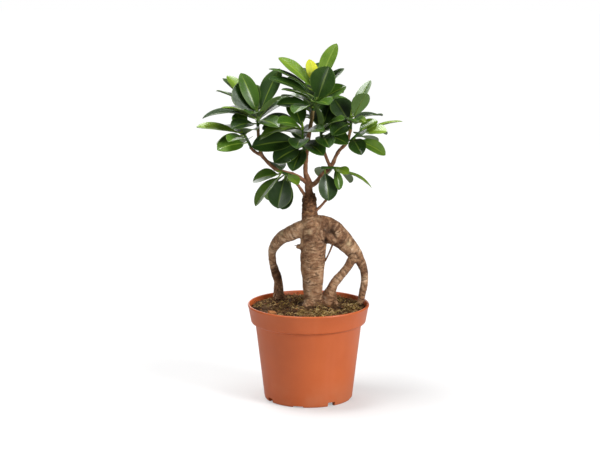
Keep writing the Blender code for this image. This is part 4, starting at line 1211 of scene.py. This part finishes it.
def placeLeaf(root, axis, leaf, distance, obstacles, siblings):
    # the first turn that clears what is already there, as (pose, offset from the shoot, solid, its blade)
    x, y, z, width, curl, roll = leaf[1:7]
    gap = leafSizes["gap"]
    for swing, lift, twist, growth in turnsToTry():
        aimed = turnedReach(Vector((x, y, z)) * growth, swing, lift)
        across = (aimed - axis * aimed.dot(axis)).normalized() * distance
        pose = (root + across, aimed - across, width * growth, curl, roll + twist)
        whole = plainLeaf(*pose, extra=gap)
        blade = plainLeaf(*pose, extra=gap, first=2)
        if any(whole.overlap(other) for other in obstacles):
            continue
        if any(blade.overlap(other) for other in siblings):
            continue
        return pose, across, plainLeaf(*pose, extra=0.0), blade
    raise RuntimeError("a leaf has no clear place")


def shootSpot(route, share):
    points = [Vector(point) for point in route]
    lengths = [(end - start).length for start, end in zip(points, points[1:])]
    left = share * sum(lengths)
    for start, end, length in zip(points, points[1:], lengths):
        if left <= length:
            return treePoint(*start.lerp(end, left / length)) / mm, (end - start).normalized()
        left -= length
    return treePoint(*points[-1]) / mm, (points[-1] - points[-2]).normalized()


def makeBud(shape, route, tone, reach):
    # the pointed bud that ends a shoot
    start, ahead = shootSpot(route, 1.0)
    points = [(start + ahead * step) * mm for step in (-1.5, 0.0, 0.4 * reach, 0.8 * reach, reach)]
    setLayer(shape, "tone", sweep(shape, points, (1.3, 1.2, 0.9, 0.45, 0.08), 8), tone)


def growLeaf(shape, shoot, leaf, seed, *around):
    # places a leaf and adds it to the shape as it is seen; returns its solid and that one's blade
    root, axis = shootSpot(shoot, leaf[0])
    pose, back, solid, blade = placeLeaf(root, axis, leaf, *around)
    fineLeaf(shape, pose, back, leaf[7], seed)
    return solid, blade


def makeSprays(material, size=leafSizes):
    obstacles = [treeOf(nodes[name].data) for name in ("rootstock", *scions)]
    thick = size["shootRadius"]
    routes = {}
    for name, spray in sprays.items():
        first, *rest = spray["shoot"]
        routes[name] = [(*first, thick), *((*point, thick - size["shootTaper"]) for point in rest)]
    trees = {name: treeOf(tubeMesh(name, smoothRoute(route, 3), 1)) for name, route in routes.items()}
    beside = thick + size["thickness"] + 2.0 * size["gap"]
    seeds = itertools.count(1)
    for name, spray in sprays.items():
        for number, leaf in enumerate(spray["leaves"][: spray["single"]], 1):
            shape = newShape()
            around = [*obstacles, *trees.values()]
            solid = growLeaf(shape, spray["shoot"], leaf, next(seeds), beside, around, [])[0]
            obstacles.append(solid)
            node = f"{name}_leaf_{number}"
            finishPiece(f"{node}_blade", shape, material, "leaf_green", node, smoothAngle=50)
    for name, spray in sprays.items():
        shape = newShape("tone")
        shape.loops.layers.uv.new("leafMap")
        start, after = (Vector(point[:3]) for point in routes[name][:2])
        root = start - (after - start).normalized() * size["shootRoot"]
        route = smoothRoute([(*root, thick), *routes[name]], 6)
        shape.from_mesh(tubeMesh(f"{name}_green", route, 5))
        setLayer(shape, "tone", shape.verts, size["shootTone"])
        makeBud(shape, spray["shoot"], size["budTone"], size["budReach"])
        mapPlainly(shape, shape.faces, size["shootSpot"])
        around = [*obstacles, *(tree for other, tree in trees.items() if other != name)]
        siblings = []
        for leaf in spray["leaves"][spray["single"] :]:
            solid, blade = growLeaf(shape, spray["shoot"], leaf, next(seeds), 0.0, around, siblings)
            siblings.append(blade)
            obstacles.append(solid)
        finishPiece(f"{name}_leaves", shape, material, "leaf_green", f"{name}_shoot", smoothAngle=50)


makeSprays(leafMaterial())
print("leaves ready")
